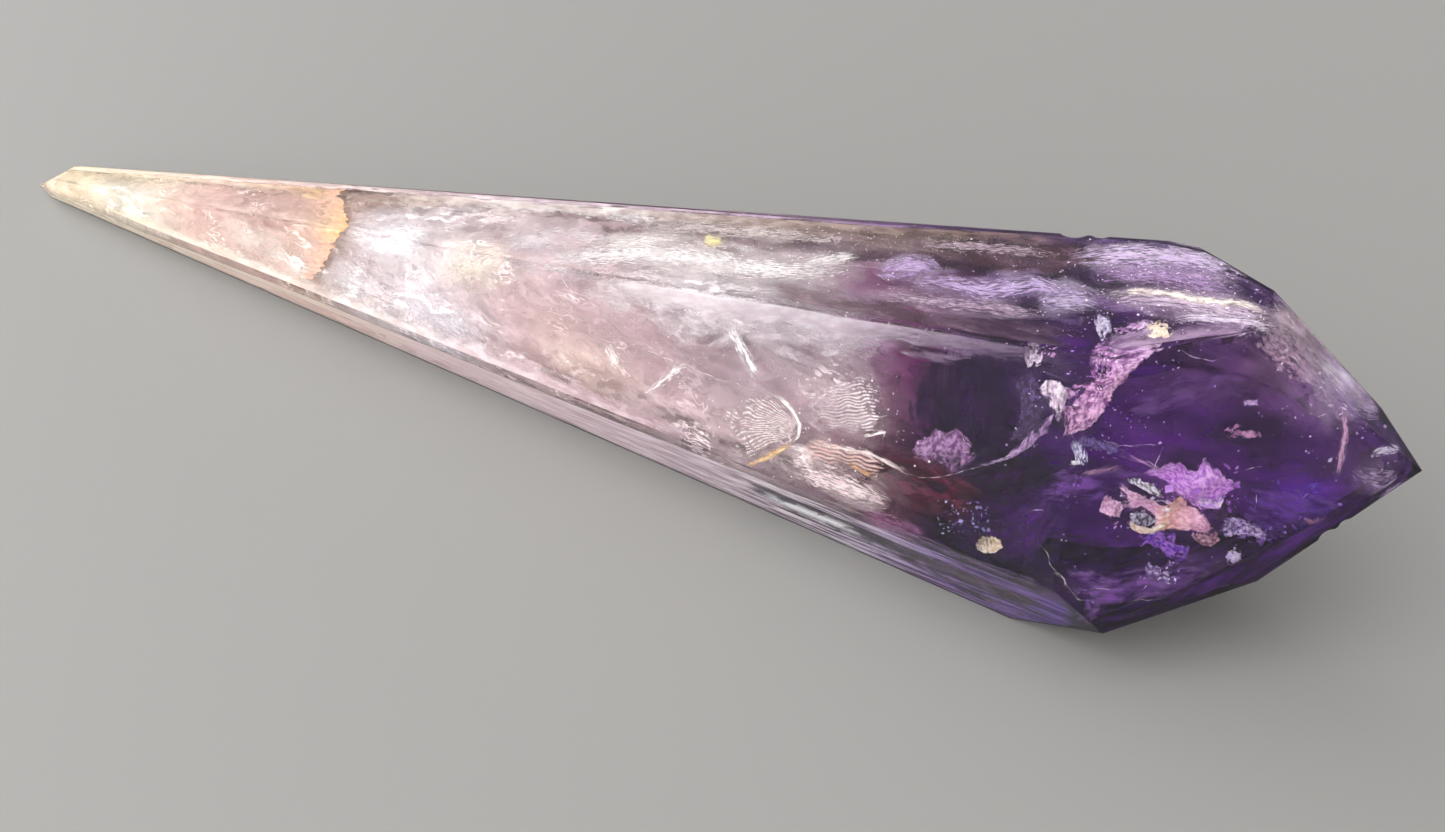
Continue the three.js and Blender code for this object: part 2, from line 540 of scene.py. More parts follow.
def quartzMaterial():
    # clear, with a polish that is very slightly wavy
    material, tree, shader = clearMaterial("clearQuartz", quartz)
    bump = tree.nodes.new("ShaderNodeBump")
    bump.inputs["Strength"].default_value = quartz["waveStrength"]
    bump.inputs["Distance"].default_value = quartz["waviness"] * mm
    wave = noise(tree, objectVector(tree), 1 / quartz["waveSize"], 1.0)["Fac"]
    feed(tree, bump.inputs["Height"], wave)
    tree.links.new(bump.outputs[0], shader.inputs["Normal"])
    return material


def makeStone():
    # a copy of the solid: triangles merged, flat faces made whole, edges bevelled
    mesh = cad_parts[stoneNode].data.copy()
    mesh.name = "polishedStone"
    work = bmesh.new()
    work.from_mesh(mesh)
    bmesh.ops.remove_doubles(work, verts=work.verts, dist=quartz["merge"] * mm)
    level = math.radians(quartz["level"])
    bmesh.ops.dissolve_limit(work, angle_limit=level, verts=work.verts, edges=work.edges)
    sharp = [edge for edge in work.edges if edge.calc_face_angle(0) > math.radians(quartz["sharp"])]
    bmesh.ops.bevel(
        work, geom=sharp, offset=quartz["edge"] * mm, segments=2, profile=0.6,
        affect="EDGES", clamp_overlap=True,
    )
    work.to_mesh(mesh)
    work.free()
    stone = showPiece("polishedStone", mesh, quartzMaterial())
    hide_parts(stoneNode)


makeStone()
print("clear stone ready")


# Coloured zones: closed bodies of the same clear stone that only absorb more light. They start at the first
# startX on one side and at the second on the side of startTurn, and are full after "blend" millimetres
zones = {
    "violetZone": {
        "absorbed": (0.74, 0.03, 0.90),
        "density": 52.0,
        "share": 0.985,
        "startX": (50.0, 34.0),
        "blend": 26.0,
        "rough": 2.0,
        "seed": 5,
    },
    "violetHeart": {
        "absorbed": (0.66, 0.01, 0.82),
        "density": 60.0,
        "share": 0.90,
        "startX": (62.0, 50.0),
        "blend": 30.0,
        "rough": 3.0,
        "seed": 8,
    },
}
zoneForm = {
    "ior": 1.0,
    "roughness": 0.0,
    "startTurn": 60.0,
    "lead": 2.0,
    "endGap": 1.5,
    "shoulder": (82, 82.5),
    "rings": (60, 70),
    "turnStep": 2.5,
    "waveReach": 12,
    "waveSize": 9,
    "least": 0.03,
}


def makeZone(name, zone):
    # radius = share of the surface, times a rise from "least" to 1 that slows down towards its end
    shoulder, rings = zoneForm["shoulder"], zoneForm["rings"]
    first = min(zone["startX"]) - zoneForm["lead"]
    last = axis["x"][-1] - zoneForm["endGap"]
    x = np.concatenate([np.linspace(first, shoulder[0], rings[0]), np.linspace(shoulder[1], last, rings[1])])
    turn = np.radians(np.arange(0, 360, zoneForm["turnStep"]))
    radius = sectionRadius(x, turn) * zone["share"]
    side = (1 + np.cos(turn - math.radians(zoneForm["startTurn"]))) / 2
    start = zone["startX"][0] + (zone["startX"][1] - zone["startX"][0]) * side
    middle = axisPoints(x)[:, None]
    direction = awayFromAxis(turn)
    ragged = softWaves(middle + zoneForm["waveReach"] * direction, zoneForm["waveSize"], zone["seed"])
    rise = np.clip((x[:, None] - start - ragged * zone["rough"]) / zone["blend"], 0, 1)
    rise = zoneForm["least"] + (1 - zoneForm["least"]) * rise * (2 - rise)
    points, faces = closedTube(middle + direction * (radius * rise)[..., None])
    material, _, _ = clearMaterial(name, {**zoneForm, **zone})
    showPiece(name, makeMesh(name, points, faces), material)


for zoneName, zoneValues in zones.items():
    makeZone(zoneName, zoneValues)
print("violet zones ready")


# Clouds: nested closed shells inside the stone, milky where a cloud is and clear elsewhere
clouds = {
    # place along X, screen colour, density of the outer shells, density of the core, share of white fleece
    "along": (
        (-124, (255, 230, 200), 1.0, 1.0, 0.4),
        (-104, (255, 236, 208), 1.0, 1.0, 0.5),
        (-92, (252, 232, 214), 0.95, 1.0, 0.5),
        (-76, (240, 208, 198), 0.9, 1.0, 0.25),
        (-60, (238, 204, 194), 0.9, 1.0, 0.25),
        (-48, (240, 208, 190), 0.9, 1.0, 0.4),
        (-38, (240, 224, 226), 0.92, 1.0, 0.55),
        (-20, (240, 226, 230), 0.9, 1.0, 0.6),
        (-6, (224, 196, 200), 0.86, 1.0, 0.35),
        (20, (206, 178, 184), 0.8, 1.0, 0.25),
        (40, (198, 174, 184), 0.66, 0.95, 0.2),
        (50, (176, 130, 152), 0.42, 0.9, 0.1),
        (58, (112, 40, 84), 0.14, 0.85, 0.0),
        (68, (78, 14, 104), 0.04, 0.85, 0.0),
        (124, (84, 18, 122), 0.04, 0.85, 0.06),
    ),
    # name: photo pixel, depth, reach along and across in millimetres, screen colour, added density and fleece
    "spots": {
        "yellowTip": ((150, 172), 1.5, 8, 4, (248, 232, 172), 0.1, 0.0),
        "greySmudge": ((122, 181), 1.0, 6, 2, (190, 178, 160), 0.0, -0.4),
        "whiteFoot": ((130, 205), 1.5, 12, 4, (255, 250, 240), 0.1, 0.4),
        "pinkHaze": ((250, 203), 2.0, 14, 5, (222, 190, 184), 0.0, -0.2),
        "lowPale": ((268, 248), 1.0, 14, 4, (255, 246, 238), 0.3, 0.45),
        "frostLow": ((345, 283), 1.0, 10, 4, (252, 246, 250), 0.4, 0.5),
        "darkPatch": ((385, 196), 2.5, 12, 3, (150, 120, 115), 0.0, -0.6),
        "frost": ((394, 243), 2.0, 8, 4, (255, 254, 254), 0.1, 0.5),
        "lavender": ((470, 214), 1.5, 20, 4, (255, 240, 242), 0.2, 0.35),
        "yellowPatch": ((475, 268), 2.0, 9, 4, (250, 240, 224), 0.1, 0.3),
        "lowerWisps": ((440, 322), 1.5, 16, 5, (255, 248, 252), 0.3, 0.7),
        "lowerPink": ((540, 372), 1.5, 12, 4, (246, 216, 216), 0.4, 0.3),
        "greyMist": ((510, 235), 4.0, 10, 4, (205, 190, 190), 0.0, 0.0),
        "mauveCore": ((545, 318), 2.5, 9, 5, (216, 188, 188), 0.0, -0.3),
        "peachGlow": ((585, 374), 1.2, 12, 6, (255, 232, 216), 0.9, 0.3),
        "pinkFloor": ((670, 420), 1.2, 18, 5, (252, 224, 228), 0.8, 0.3),
        "whiteVeil": ((680, 290), 2.0, 18, 4, (248, 242, 244), 0.25, 0.6),
        "greyCloud": ((750, 312), 3.0, 18, 6, (228, 218, 222), 0.2, 0.3),
        "clearWindow": ((790, 352), 3.0, 7, 4, (170, 150, 156), -0.2, -0.5),
        "frontGlow": ((855, 345), 3.0, 8, 5, (206, 186, 194), 0.25, 0.0),
        "rippleGlow": ((838, 400), 2.0, 9, 5, (246, 228, 230), 0.7, 0.3),
        "pinkShelf": ((826, 464), 1.0, 13, 5, (255, 240, 238), 1.0, 0.6),
        "shelfEnd": ((785, 470), 0.8, 10, 3, (255, 236, 236), 1.0, 0.5),
        "brownStrip": ((790, 222), 2.0, 26, 3, (176, 150, 146), 0.0, 0.0),
        "topFleece": ((860, 246), 1.2, 30, 3, (176, 148, 154), 0.2, 0.35),
        "topPale": ((690, 218), 1.0, 20, 3, (214, 192, 190), 0.3, 0.3),
        "endFleece": ((1120, 250), 1.0, 26, 3, (176, 146, 180), 0.2, 0.4),
        "darkStrip": ((1030, 246), 2.0, 26, 4, (98, 72, 78), 0.1, -0.2),
        "oliveTint": ((930, 248), 2.0, 7, 3, (150, 130, 100), 0.1, 0.0),
        "lilacHaze": ((920, 275), 2.0, 16, 4, (170, 140, 170), 0.3, 0.3),
        "magentaGlow": ((880, 498), 3.0, 8, 5, (118, 50, 78), 0.3, 0.0),
        "greyShoulder": ((950, 322), 1.5, 13, 3, (184, 158, 172), 0.5, 0.2),
        # nightCore and bandCore make the dark pocket and band clearer and darker: partly deep violet, partly
        # painted shade
        "nightCore": ((965, 415), 4.0, 9, 9, (44, 16, 50), -0.4, -0.4),
        "bandCore": ((1010, 482), 4.0, 10, 5, (40, 16, 52), -0.2, 0.0),
        "plumCore": ((1085, 545), 6.0, 9, 8, (80, 24, 104), 0.0, 0.0),
        "lilacBand": ((1150, 266), 1.0, 24, 4, (240, 216, 240), 0.8, 0.7),
        "creamGlow": ((1180, 298), 0.8, 18, 3, (250, 236, 240), 0.9, 0.7),
        "lilacPatch": ((1065, 300), 1.5, 7, 3, (218, 204, 238), 0.5, 0.5),
        "mauveTop": ((1195, 318), 1.5, 14, 4, (190, 156, 194), 0.5, 0.4),
        "topPlum": ((1215, 368), 4.0, 11, 5, (120, 60, 122), 0.12, 0.0),
        "violetGlow": ((1190, 466), 3.0, 8, 5, (160, 74, 204), 0.2, 0.0),
        "clusterGlow": ((1185, 498), 2.0, 8, 4, (190, 120, 222), 0.35, 0.1),
        "leftGlow": ((1115, 440), 3.0, 8, 6, (130, 64, 170), 0.2, 0.05),
        "upperGlow": ((1190, 388), 3.0, 14, 4, (150, 110, 166), 0.2, 0.08),
        "footGlow": ((1110, 606), 2.0, 16, 5, (160, 110, 196), 0.3, 0.25),
        "farGlow": ((1300, 502), 4.0, 5, 4, (110, 40, 190), 0.12, 0.0),
        "nightEnd": ((1255, 440), 6.0, 8, 8, (48, 8, 66), -0.1, 0.0),
        "brownCorner": ((1290, 350), 1.0, 7, 4, (214, 184, 190), 0.8, 0.4),
        "frostEdge": ((1335, 392), 1.0, 9, 4, (246, 226, 246), 0.8, 0.7),
        "tipHaze": ((1385, 455), 2.0, 8, 5, (108, 72, 132), 0.1, 0.2),
        "lowHaze": ((1200, 570), 3.0, 16, 5, (150, 92, 190), 0.25, 0.25),
    },
    # share: of the rounded section. lump and wave: how deep and wide the lumps are. cotton, fibre and
    # fleece: sizes of the patterns in millimetres. core: how much of the core density it takes
    "shells": {
        "outerClouds": {
            "share": 0.94, "lump": 0.05, "wave": 5.0, "cotton": 3.5, "fibre": 1.6, "fleece": 3.2, "warp": 3.0,
            "core": 0.0, "thin": 0.4, "floor": 0.15, "threadFrom": 0.35, "threads": 0.8,
        },
        "middleClouds": {
            "share": 0.8, "lump": 0.12, "wave": 7.0, "cotton": 6.0, "fibre": 2.4, "fleece": 5.0, "warp": 5.0,
            "core": 0.3, "thin": 0.6, "floor": 0.15, "threadFrom": 0.6, "threads": 0.5,
        },
        "innerClouds": {
            "share": 0.56, "lump": 0.16, "wave": 9.0, "cotton": 9.0, "fibre": 3.0, "fleece": 7.0, "warp": 5.0,
            "core": 1.0, "thin": 0.45, "floor": 1.3, "threadFrom": 2.0, "threads": 0.0,
        },
    },
    # how strongly a spot pulls the colour, and how fast it fades
    "pull": 0.9,
    "bell": 1.4,
    "form": {
        "rounding": 14,
        "rings": 330,
        "turnStep": 3.0,
        "endGap": 0.6,
        "endShrink": 10,
        "lumpSqueeze": (0.5, 1, 1),
        "cap": 6,
        "capLeast": 0.02,
    },
    # sizes and places in millimetres, strengths as shares
    "paint": {
        "squeeze": (0.45, 1, 1),
        "violetFrom": 50,
        "violetBlend": 15,
        "unevenSizes": (5.0, 2.2),
        "fineShare": 0.6,
        "uneven": 0.08,
        "unevenViolet": 0.34,
        "tintLimits": (0.01, 0.97),
        "milkWaves": 0.2,
        "milkWaveSize": 8.0,
        "threadPatch": 6.0,
        "threadRise": 1.6,
        "threadLeast": 0.1,
        "threadViolet": 0.7,
        "pale": 0.65,
        "paleViolet": 0.95,
        "glint": (252, 248, 250),
    },
    # white fleece shows where its noise is above "from", less "drop" where it is white, over "blend"
    "fleece": {
        "from": 0.68,
        "drop": 0.2,
        "blend": 0.14,
        "strength": 2.2,
    },
    "billowPale": 0.2,
}


def cloudField(points):
    # colour, outer and core density and white at each point: the values along the stone, pulled towards each
    # soft spot by a bell curve
    along = clouds["along"]
    x = [row[0] for row in along]
    colours = linear([row[1] for row in along])
    tint = np.stack([np.interp(points[:, 0], x, colours[:, i]) for i in range(3)], -1)
    outer, core, white = (np.interp(points[:, 0], x, [row[i] for row in along]) for i in (2, 3, 4))
    for pixel, depth, reach, width, colour, more, fleece in clouds["spots"].values():
        place, _ = seenInside(pixel, depth)
        gap = (points - place) / (reach, width, width)
        near = np.exp(-(gap**2).sum(-1) * clouds["bell"])
        tint += near[:, None] * clouds["pull"] * (linear(colour) - tint)
        outer += near * more
        white += near * fleece
    return tint, np.clip(outer, 0, 1), core, np.clip(white, 0, 1)


def cloudMaterial(name, shell):
    # soft milk where the billows are, with white fleece, threads and flecks over it
    material, tree, shader = newMaterial(name, roughness=0.6, gloss=0.0)
    fleeceLook = clouds["fleece"]
    place = objectVector(tree, shell["warp"])
    milk = attribute(tree, "milk", "Fac")
    thready = attribute(tree, "thready", "Fac")
    white = attribute(tree, "white", "Fac")
    billow = mask(tree, "cotton", place, Size=shell["cotton"], Stretch=2.0, Low=0.36, High=0.66)
    thread = mask(tree, "fibres", place, Size=shell["fibre"], Stretch=5.0, Width=0.05)
    grain = mask(tree, "flecks", place, Size=1.1, Stretch=1.6, Core=0.3)
    low = maths(tree, "SUBTRACT", fleeceLook["from"], maths(tree, "MULTIPLY", white, fleeceLook["drop"]))
    high = maths(tree, "ADD", low, fleeceLook["blend"])
    fleece = mask(
        tree, "cotton", place, Size=shell["fleece"], Stretch=3.0, Low=low, High=high, Detail=7.0, Fray=0.68,
    )
    speckle = maths(tree, "MULTIPLY", maths(tree, "MAXIMUM", thread, grain), thready, clamp=True)
    whiter = maths(tree, "MULTIPLY", white, fleeceLook["strength"], clamp=True)
    bright = maths(tree, "MAXIMUM", speckle, maths(tree, "MULTIPLY", fleece, whiter))
    soft = maths(tree, "MULTIPLY", milk, maths(tree, "ADD", billow, shell["floor"]))
    alpha = maths(tree, "ADD", maths(tree, "MULTIPLY", soft, shell["thin"]), bright, clamp=True)
    pale = maths(tree, "ADD", bright, maths(tree, "MULTIPLY", billow, clouds["billowPale"]), clamp=True)
    colour = mixed(tree, pale, attribute(tree, "tint", "Color"), attribute(tree, "glint", "Color"))
    tree.links.new(colour, shader.inputs["Base Color"])
    tree.links.new(alpha, shader.inputs["Alpha"])
    return material


def makeClouds(name, shell, seed):
    # a share of the rounded section, less its lumps, closed roundly near both ends
    form, paint = clouds["form"], clouds["paint"]
    ends = form["endGap"] + form["endShrink"] * (1 - shell["share"])
    x = np.linspace(axis["x"][0] + ends, axis["x"][-1] - ends, form["rings"])
    turn = np.radians(np.arange(0, 360, form["turnStep"]))
    radius = sectionRadius(x, turn, form["rounding"]) * shell["share"]
    middle = axisPoints(x)[:, None]
    direction = awayFromAxis(turn)
    surface = middle + direction * radius[..., None]
    lump = 1 - shell["lump"] * (1 + softWaves(surface * form["lumpSqueeze"], shell["wave"], seed)) / 2
    cap = np.clip(np.minimum(x - x[0], x[-1] - x) / form["cap"], form["capLeast"], 1)
    cap = np.sqrt(1 - (1 - cap) ** 2)
    points, faces = closedTube(middle + direction * (radius * lump * cap[:, None])[..., None])
    tint, outer, core, white = cloudField(points)
    squeezed = points * paint["squeeze"]
    # the violet end is more uneven than the milky part
    violet = np.clip((points[:, 0] - paint["violetFrom"]) / paint["violetBlend"], 0, 1)
    wide, fine = paint["unevenSizes"]
    uneven = softWaves(squeezed, wide, seed + 30) + paint["fineShare"] * softWaves(squeezed, fine, seed + 31)
    strength = paint["uneven"] + paint["unevenViolet"] * violet
    tint = np.clip(tint * (1 + strength * uneven)[:, None], *paint["tintLimits"])
    milk = outer + (core - outer) * shell["core"]
    milk = milk * (1 + paint["milkWaves"] * softWaves(squeezed, paint["milkWaveSize"], seed + 32))
    milk = np.clip(milk, 0, 1)
    patches = softWaves(squeezed, paint["threadPatch"], seed + 40)
    thready = np.clip((patches - shell["threadFrom"]) * paint["threadRise"], 0, 1)
    thready = thready * np.clip(paint["threadLeast"] + milk, 0, 1)
    thready = thready * shell["threads"] * (1 - paint["threadViolet"] * violet)
    pale = paint["pale"] * np.clip(1 - paint["paleViolet"] * violet + 2 * white, 0, 1)[:, None]
    glint = (1 - pale) * tint + pale * linear(paint["glint"])
    values = {"tint": tint, "milk": milk, "thready": thready, "glint": glint, "white": white}
    showPiece(name, makeMesh(name, points, faces, values), cloudMaterial(name, shell))


for seed, (shellName, shellValues) in enumerate(clouds["shells"].items()):
    makeClouds(shellName, shellValues, 20 + seed)
print("clouds ready")


# Veils: thin closed leaves inside the stone, laid out by where the photograph shows them. Lines are points in
# its pixels, depths are in millimetres under the face, and colours are screen values
veils = {
    "reliefSize": 4.0,
    # how much deeper the second edge lies, and the width at the ends
    "ribbonDeepen": 1.3,
    "ribbonEnd": 0.25,
    "patchDeepen": 1.25,
    "patchBends": (0.3, 2.8),
    "patchUneven": (0.6, 1.2),
    "ribWobble": 0.5,
    "ribWobbleSize": 3.0,
    "laneSpread": 7.3,
    "fadePower": 0.6,
    "fineGrain": 0.6,
}


def between(first, second, depth, rows, columns, relief, seed, jag=0.0):
    # a sheet from one line of pixels to another, each at its own depth, with a gentle relief
    random = np.random.default_rng(seed)
    edges = []
    for line, deep, jitter in ((first, depth[0], jag), (second, depth[1], 0.0)):
        pixels = alongLine(line, columns) + random.normal(size=(columns, 2)) * jitter
        edges.append(seenInside(pixels, deep))
    share = np.linspace(0, 1, rows)[:, None, None]
    points = edges[0][0] * (1 - share) + edges[1][0] * share
    outward = edges[0][1] * (1 - share) + edges[1][1] * share
    outward /= np.linalg.norm(outward, axis=-1, keepdims=True)
    swell = softWaves(points, veils["reliefSize"], seed) * np.sin(np.pi * share[..., 0]) ** 0.5
    return points + outward * (swell * relief)[..., None], outward


def ribbon(line, width, depth, relief, seed, rows=7, columns=60):
    # a sheet along a line of pixels: half width = width / 2 * (end share + the rest * sine to the power 0.6)
    middle = alongLine(line, columns)
    step = np.gradient(middle, axis=0)
    side = np.stack([-step[:, 1], step[:, 0]], -1)
    side /= np.linalg.norm(side, axis=1, keepdims=True)
    end = veils["ribbonEnd"]
    half = width / 2 * (end + (1 - end) * np.sin(np.pi * np.linspace(0, 1, columns)) ** 0.6)
    aside = side * half[:, None]
    depths = (depth, depth * veils["ribbonDeepen"])
    return between(middle - aside, middle + aside, depths, rows, columns, relief, seed)


def patch(centre, size, turn, depth, relief, seed, jag, rows=11, columns=26):
    # an angular uneven sheet round a pixel: its upper and lower halves are the two edges, each half an oval
    # whose height changes at five random bends
    random = np.random.default_rng(seed)
    swing = np.linspace(0, np.pi, columns)
    angle = math.radians(turn)
    spin = np.array([[math.cos(angle), math.sin(angle)], [-math.sin(angle), math.cos(angle)]])
    halves = []
    for sign in (-1, 1):
        bends = np.sort(np.concatenate([[0, np.pi], random.uniform(*veils["patchBends"], 5)]))
        uneven = np.interp(swing, bends, random.uniform(*veils["patchUneven"], 7))
        height = sign * np.sin(swing) ** 0.7 * size[1] / 2 * uneven
        oval = np.stack([-np.cos(swing) * size[0] / 2, height], -1)
        halves.append(oval @ spin + np.array(centre))
    return between(*halves, (depth, depth * veils["patchDeepen"]), rows, columns, relief, seed, jag)


def colourAlong(value, along):
    # one screen colour, or a table of (share of the way, screen colour)
    if not isinstance(value[0], tuple):
        return linear(value) + np.zeros((*along.shape, 3))
    shares = [stop[0] for stop in value]
    colours = linear([stop[1] for stop in value])
    return np.stack([np.interp(along, shares, colours[:, i]) for i in range(3)], -1)


def runLength(points):
    # millimetres gone along a line of points
    return np.concatenate([[0], np.cumsum(np.linalg.norm(np.diff(points, axis=0), axis=1))])


def leaf(sheet, colours, milk, lace, soft, thickness=0.12, margin=0.3, ribs=None, fade=None):
    # a closed leaf with its vertex values. soft: the shares over which it fades at the first long edge, at
    # the second and at the ends. milk: its strength, or a table of (share of the way, strength). lace: how
    # ragged the edges are, one value or one for each long edge. ribs: how many stripes along and across.
    # fade: the colour that it turns to at the second edge
    points, outward = sheet
    rows, columns = points.shape[:2]
    points = keepInside(points, margin)
    verts, faces, source = thinBody(points, outward, thickness)
    down = np.linspace(0, 1, rows)[:, None] + np.zeros((1, columns))
    along = np.linspace(0, 1, columns)[None] + np.zeros((rows, 1))
    rim = np.minimum(down / soft[0], (1 - down) / soft[1])
    rim = np.clip(np.minimum(rim, np.minimum(along, 1 - along) / soft[2]), 0, 1)
    lace = np.broadcast_to(lace, 2)
    across, lengthwise = ribs or (0, 0)
    wobble = veils["ribWobble"] * softWaves(points, veils["ribWobbleSize"], 9)
    # the place on the leaf in millimetres, and a third number that differs from leaf to leaf
    lane = np.stack(np.broadcast_arrays(
        runLength(points[rows // 2])[None],
        runLength(points[:, columns // 2])[:, None],
        points[0, 0, 0] * veils["laneSpread"],
    ), -1)
    strength = np.array(milk).reshape(-1, 2) if isinstance(milk, tuple) else np.array([(0, milk)])
    single = {
        "rim": rim,
        "milk": np.interp(along, strength[:, 0], strength[:, 1]),
        "lace": lace[0] + (lace[1] - lace[0]) * down,
        "phase": along * across + down * lengthwise + wobble if ribs else 0 * down,
        "ribbed": (1 if ribs else 0) + 0 * down,
    }
    values = {key: value.ravel()[source] for key, value in single.items()}
    shades = [colourAlong(colour, along) for colour in colours]
    if fade:
        fading = (down ** veils["fadePower"])[..., None]
        shades = [shade + (linear(fade) - shade) * fading for shade in shades]
    for key, value in zip(("tint", "glint", "lane"), (*shades, lane)):
        values[key] = value.reshape(-1, 3)[source]
    return verts, faces, values


def sheetLeaves(table, seed, soft, thickness=0.12, **form):
    # a leaf for each row: first line, second line, depths, dark and light colour, strength, laciness
    return [
        leaf(between(first, second, depth, seed=seed + i, **form), colours, milk, lace, soft, thickness)
        for i, (first, second, depth, colours, milk, lace) in enumerate(table.values())
    ]


def veilMaterial(name, size, stretch, low=0.3, high=0.62, roughness=0.5, gloss=0.0):
    # a wide noise eats the leaf's rim away where it is lacy, ribs cut it into stripes, and a finer noise goes
    # from its dark to its light colour
    material, tree, shader = newMaterial(name, roughness, gloss)
    place = attribute(tree, "lane", "Vector")
    finer = size * veils["fineGrain"]
    wide = mask(tree, "cotton", place, Size=size, Stretch=stretch, Low=0.25, High=0.75, Detail=7.0, Fray=0.7)
    fine = mask(tree, "cotton", place, Size=finer, Stretch=stretch, Low=0.38, High=0.64, Detail=5.0)
    lace = maths(tree, "MULTIPLY", maths(tree, "SUBTRACT", wide, 0.5), attribute(tree, "lace", "Fac"))
    edge = stepped(tree, maths(tree, "ADD", attribute(tree, "rim", "Fac"), lace), low, high)
    wave = maths(tree, "SINE", maths(tree, "MULTIPLY", attribute(tree, "phase", "Fac"), 2 * math.pi))
    stripe = maths(tree, "MULTIPLY", maths(tree, "ADD", wave, 1.0), 0.5)
    ribbed = attribute(tree, "ribbed", "Fac")
    cut = maths(tree, "MULTIPLY", ribbed, maths(tree, "SUBTRACT", 1.0, stripe))
    kept = maths(tree, "MULTIPLY", edge, maths(tree, "SUBTRACT", 1.0, cut))
    alpha = maths(tree, "MULTIPLY", kept, attribute(tree, "milk", "Fac"))
    colour = mixed(tree, fine, attribute(tree, "tint", "Color"), attribute(tree, "glint", "Color"))
    tree.links.new(colour, shader.inputs["Base Color"])
    tree.links.new(alpha, shader.inputs["Alpha"])
    return material


def showVeil(name, leaves, **look):
    # leaves joined into one piece
    starts = np.cumsum([0] + [len(one[0]) for one in leaves])[:-1]
    points = np.concatenate([one[0] for one in leaves])
    faces = np.concatenate([one[1] + start for one, start in zip(leaves, starts)])
    values = {key: np.concatenate([one[2][key] for one in leaves]) for key in leaves[0][2]}
    showPiece(name, makeMesh(name, points, faces, values), veilMaterial(name, **look))


# The rust-stained fracture: a jagged ochre edge at the surface that leans in towards the thin end
rust = {
    "edge": (
        (348, 184), (343, 191), (337, 198), (344, 199), (347, 202), (345, 209), (347, 214), (350, 219),
        (349, 227), (344, 232), (339, 237), (337, 241), (334, 247), (329, 259), (324, 269), (316, 277),
        (311, 281),
    ),
    "rows": 24,
    "columns": 110,
    "depth": 0.35,
    "lean": (-14.0, 2.5, -4.0),
    "ragged": (0.5, 0, 0.1),
    "raggedSize": 1.1,
    "swell": (0.5, 0.3, 0.3),
    "swellSize": 3.5,
    "dark": (
        (0, (206, 158, 130)), (0.25, (212, 164, 130)), (0.4, (222, 174, 120)), (0.55, (226, 178, 114)),
        (0.65, (212, 162, 130)), (1, (210, 168, 152)),
    ),
    "light": (
        (0, (236, 198, 174)), (0.25, (242, 206, 174)), (0.4, (250, 216, 162)), (0.55, (252, 220, 156)),
        (0.65, (242, 204, 172)), (1, (236, 204, 190)),
    ),
    "fade": (240, 212, 202),
    "milk": 0.9,
}


def makeRust():
    # each point of the edge goes on along "lean", in millimetres, and the sheet swells as it goes
    start, outward = seenInside(alongLine(rust["edge"], rust["columns"]), rust["depth"])
    ragged = softWaves(start, rust["raggedSize"], 3)[:, None] * np.array(rust["ragged"])
    share = np.linspace(0, 1, rust["rows"])[:, None, None]
    points = (start + ragged)[None] + share * np.array(rust["lean"])
    swell = softWaves(points, rust["swellSize"], 4)[..., None] * np.array(rust["swell"])
    points = points + swell * share
    veil = leaf(
        (points, outward[None] + np.zeros_like(points)), (rust["dark"], rust["light"]), rust["milk"],
        lace=(0.1, 1.2), soft=(0.01, 0.9, 0.02), margin=0.25, fade=rust["fade"],
    )
    showVeil("rustVeil", [veil], size=2.2, stretch=1.2, low=0.2, high=1.0)


makeRust()

# The big pink and white veil and what lies round the dark pocket: sharp line, faded line, depths, dark and
# light colour, strength, laciness
jagged = {
    "upperVeil": (
        (
            (1169, 326), (1166, 338), (1162, 345), (1148, 358), (1143, 361), (1136, 370), (1130, 373),
            (1126, 384),
        ),
        (
            (1140, 318), (1122, 324), (1108, 332), (1098, 340), (1091, 352), (1088, 364), (1092, 376),
            (1102, 386),
        ),
        (0.7, 2.2),
        (
            ((0, (176, 140, 178)), (0.6, (150, 100, 158)), (1, (146, 92, 142))),
            ((0, (244, 232, 244)), (0.5, (232, 200, 232)), (1, (236, 196, 222))),
        ),
        0.8, (0.9, 2.6),
    ),
    "lowerVeil": (
        (
            (1128, 380), (1121, 384), (1114, 391), (1111, 400), (1106, 409), (1098, 420), (1088, 429),
            (1077, 432), (1065, 438),
        ),
        (
            (1104, 374), (1086, 376), (1070, 380), (1058, 388), (1054, 398), (1056, 409), (1060, 419),
            (1065, 428), (1063, 436),
        ),
        (0.7, 2.4), ((116, 72, 118), (226, 186, 214)), 0.85, (0.9, 2.6),
    ),
    "whiteFlake": (
        ((1038, 389), (1046, 380), (1057, 380), (1070, 392)),
        ((1041, 393), (1047, 401), (1053, 415), (1059, 423)),
        (0.6, 1.0), ((196, 170, 196), (254, 248, 252)), 0.9, (1.2, 1.2),
    ),
    "tail": (
        ((1050, 433), (1040, 437), (1030, 448), (1016, 456), (1000, 462), (974, 468)),
        ((1054, 413), (1043, 421), (1032, 431), (1020, 444), (1002, 458), (976, 465)),
        (0.6, 1.4), ((130, 98, 140), (204, 178, 212)), 0.75, (0.7, 2.6),
    ),
    "greySheet": (
        ((1013, 380), (1019, 396), (1020, 412), (1016, 428), (1008, 442)),
        ((1036, 366), (1050, 388), (1056, 406), (1050, 424), (1032, 440)),
        (1.6, 2.6), ((60, 42, 80), (108, 92, 132)), 0.7, (0.2, 1.6),
    ),
    "lilacLump": (
        ((911, 453), (917, 441), (927, 437), (935, 428), (947, 433), (956, 427), (967, 437), (975, 447)),
        ((913, 460), (923, 465), (931, 474), (946, 471), (957, 479), (968, 468), (977, 455)),
        (1.0, 1.6), ((112, 72, 116), (198, 160, 202)), 0.75, (1.5, 1.0),
    ),
}
jaggedLeaves = sheetLeaves(
    jagged, seed=7, soft=(0.02, 0.6, 0.12), rows=22, columns=90, relief=0.3, jag=0.6,
)
showVeil("jaggedVeil", jaggedLeaves, size=1.3, stretch=1.3, low=0.15, high=0.75)
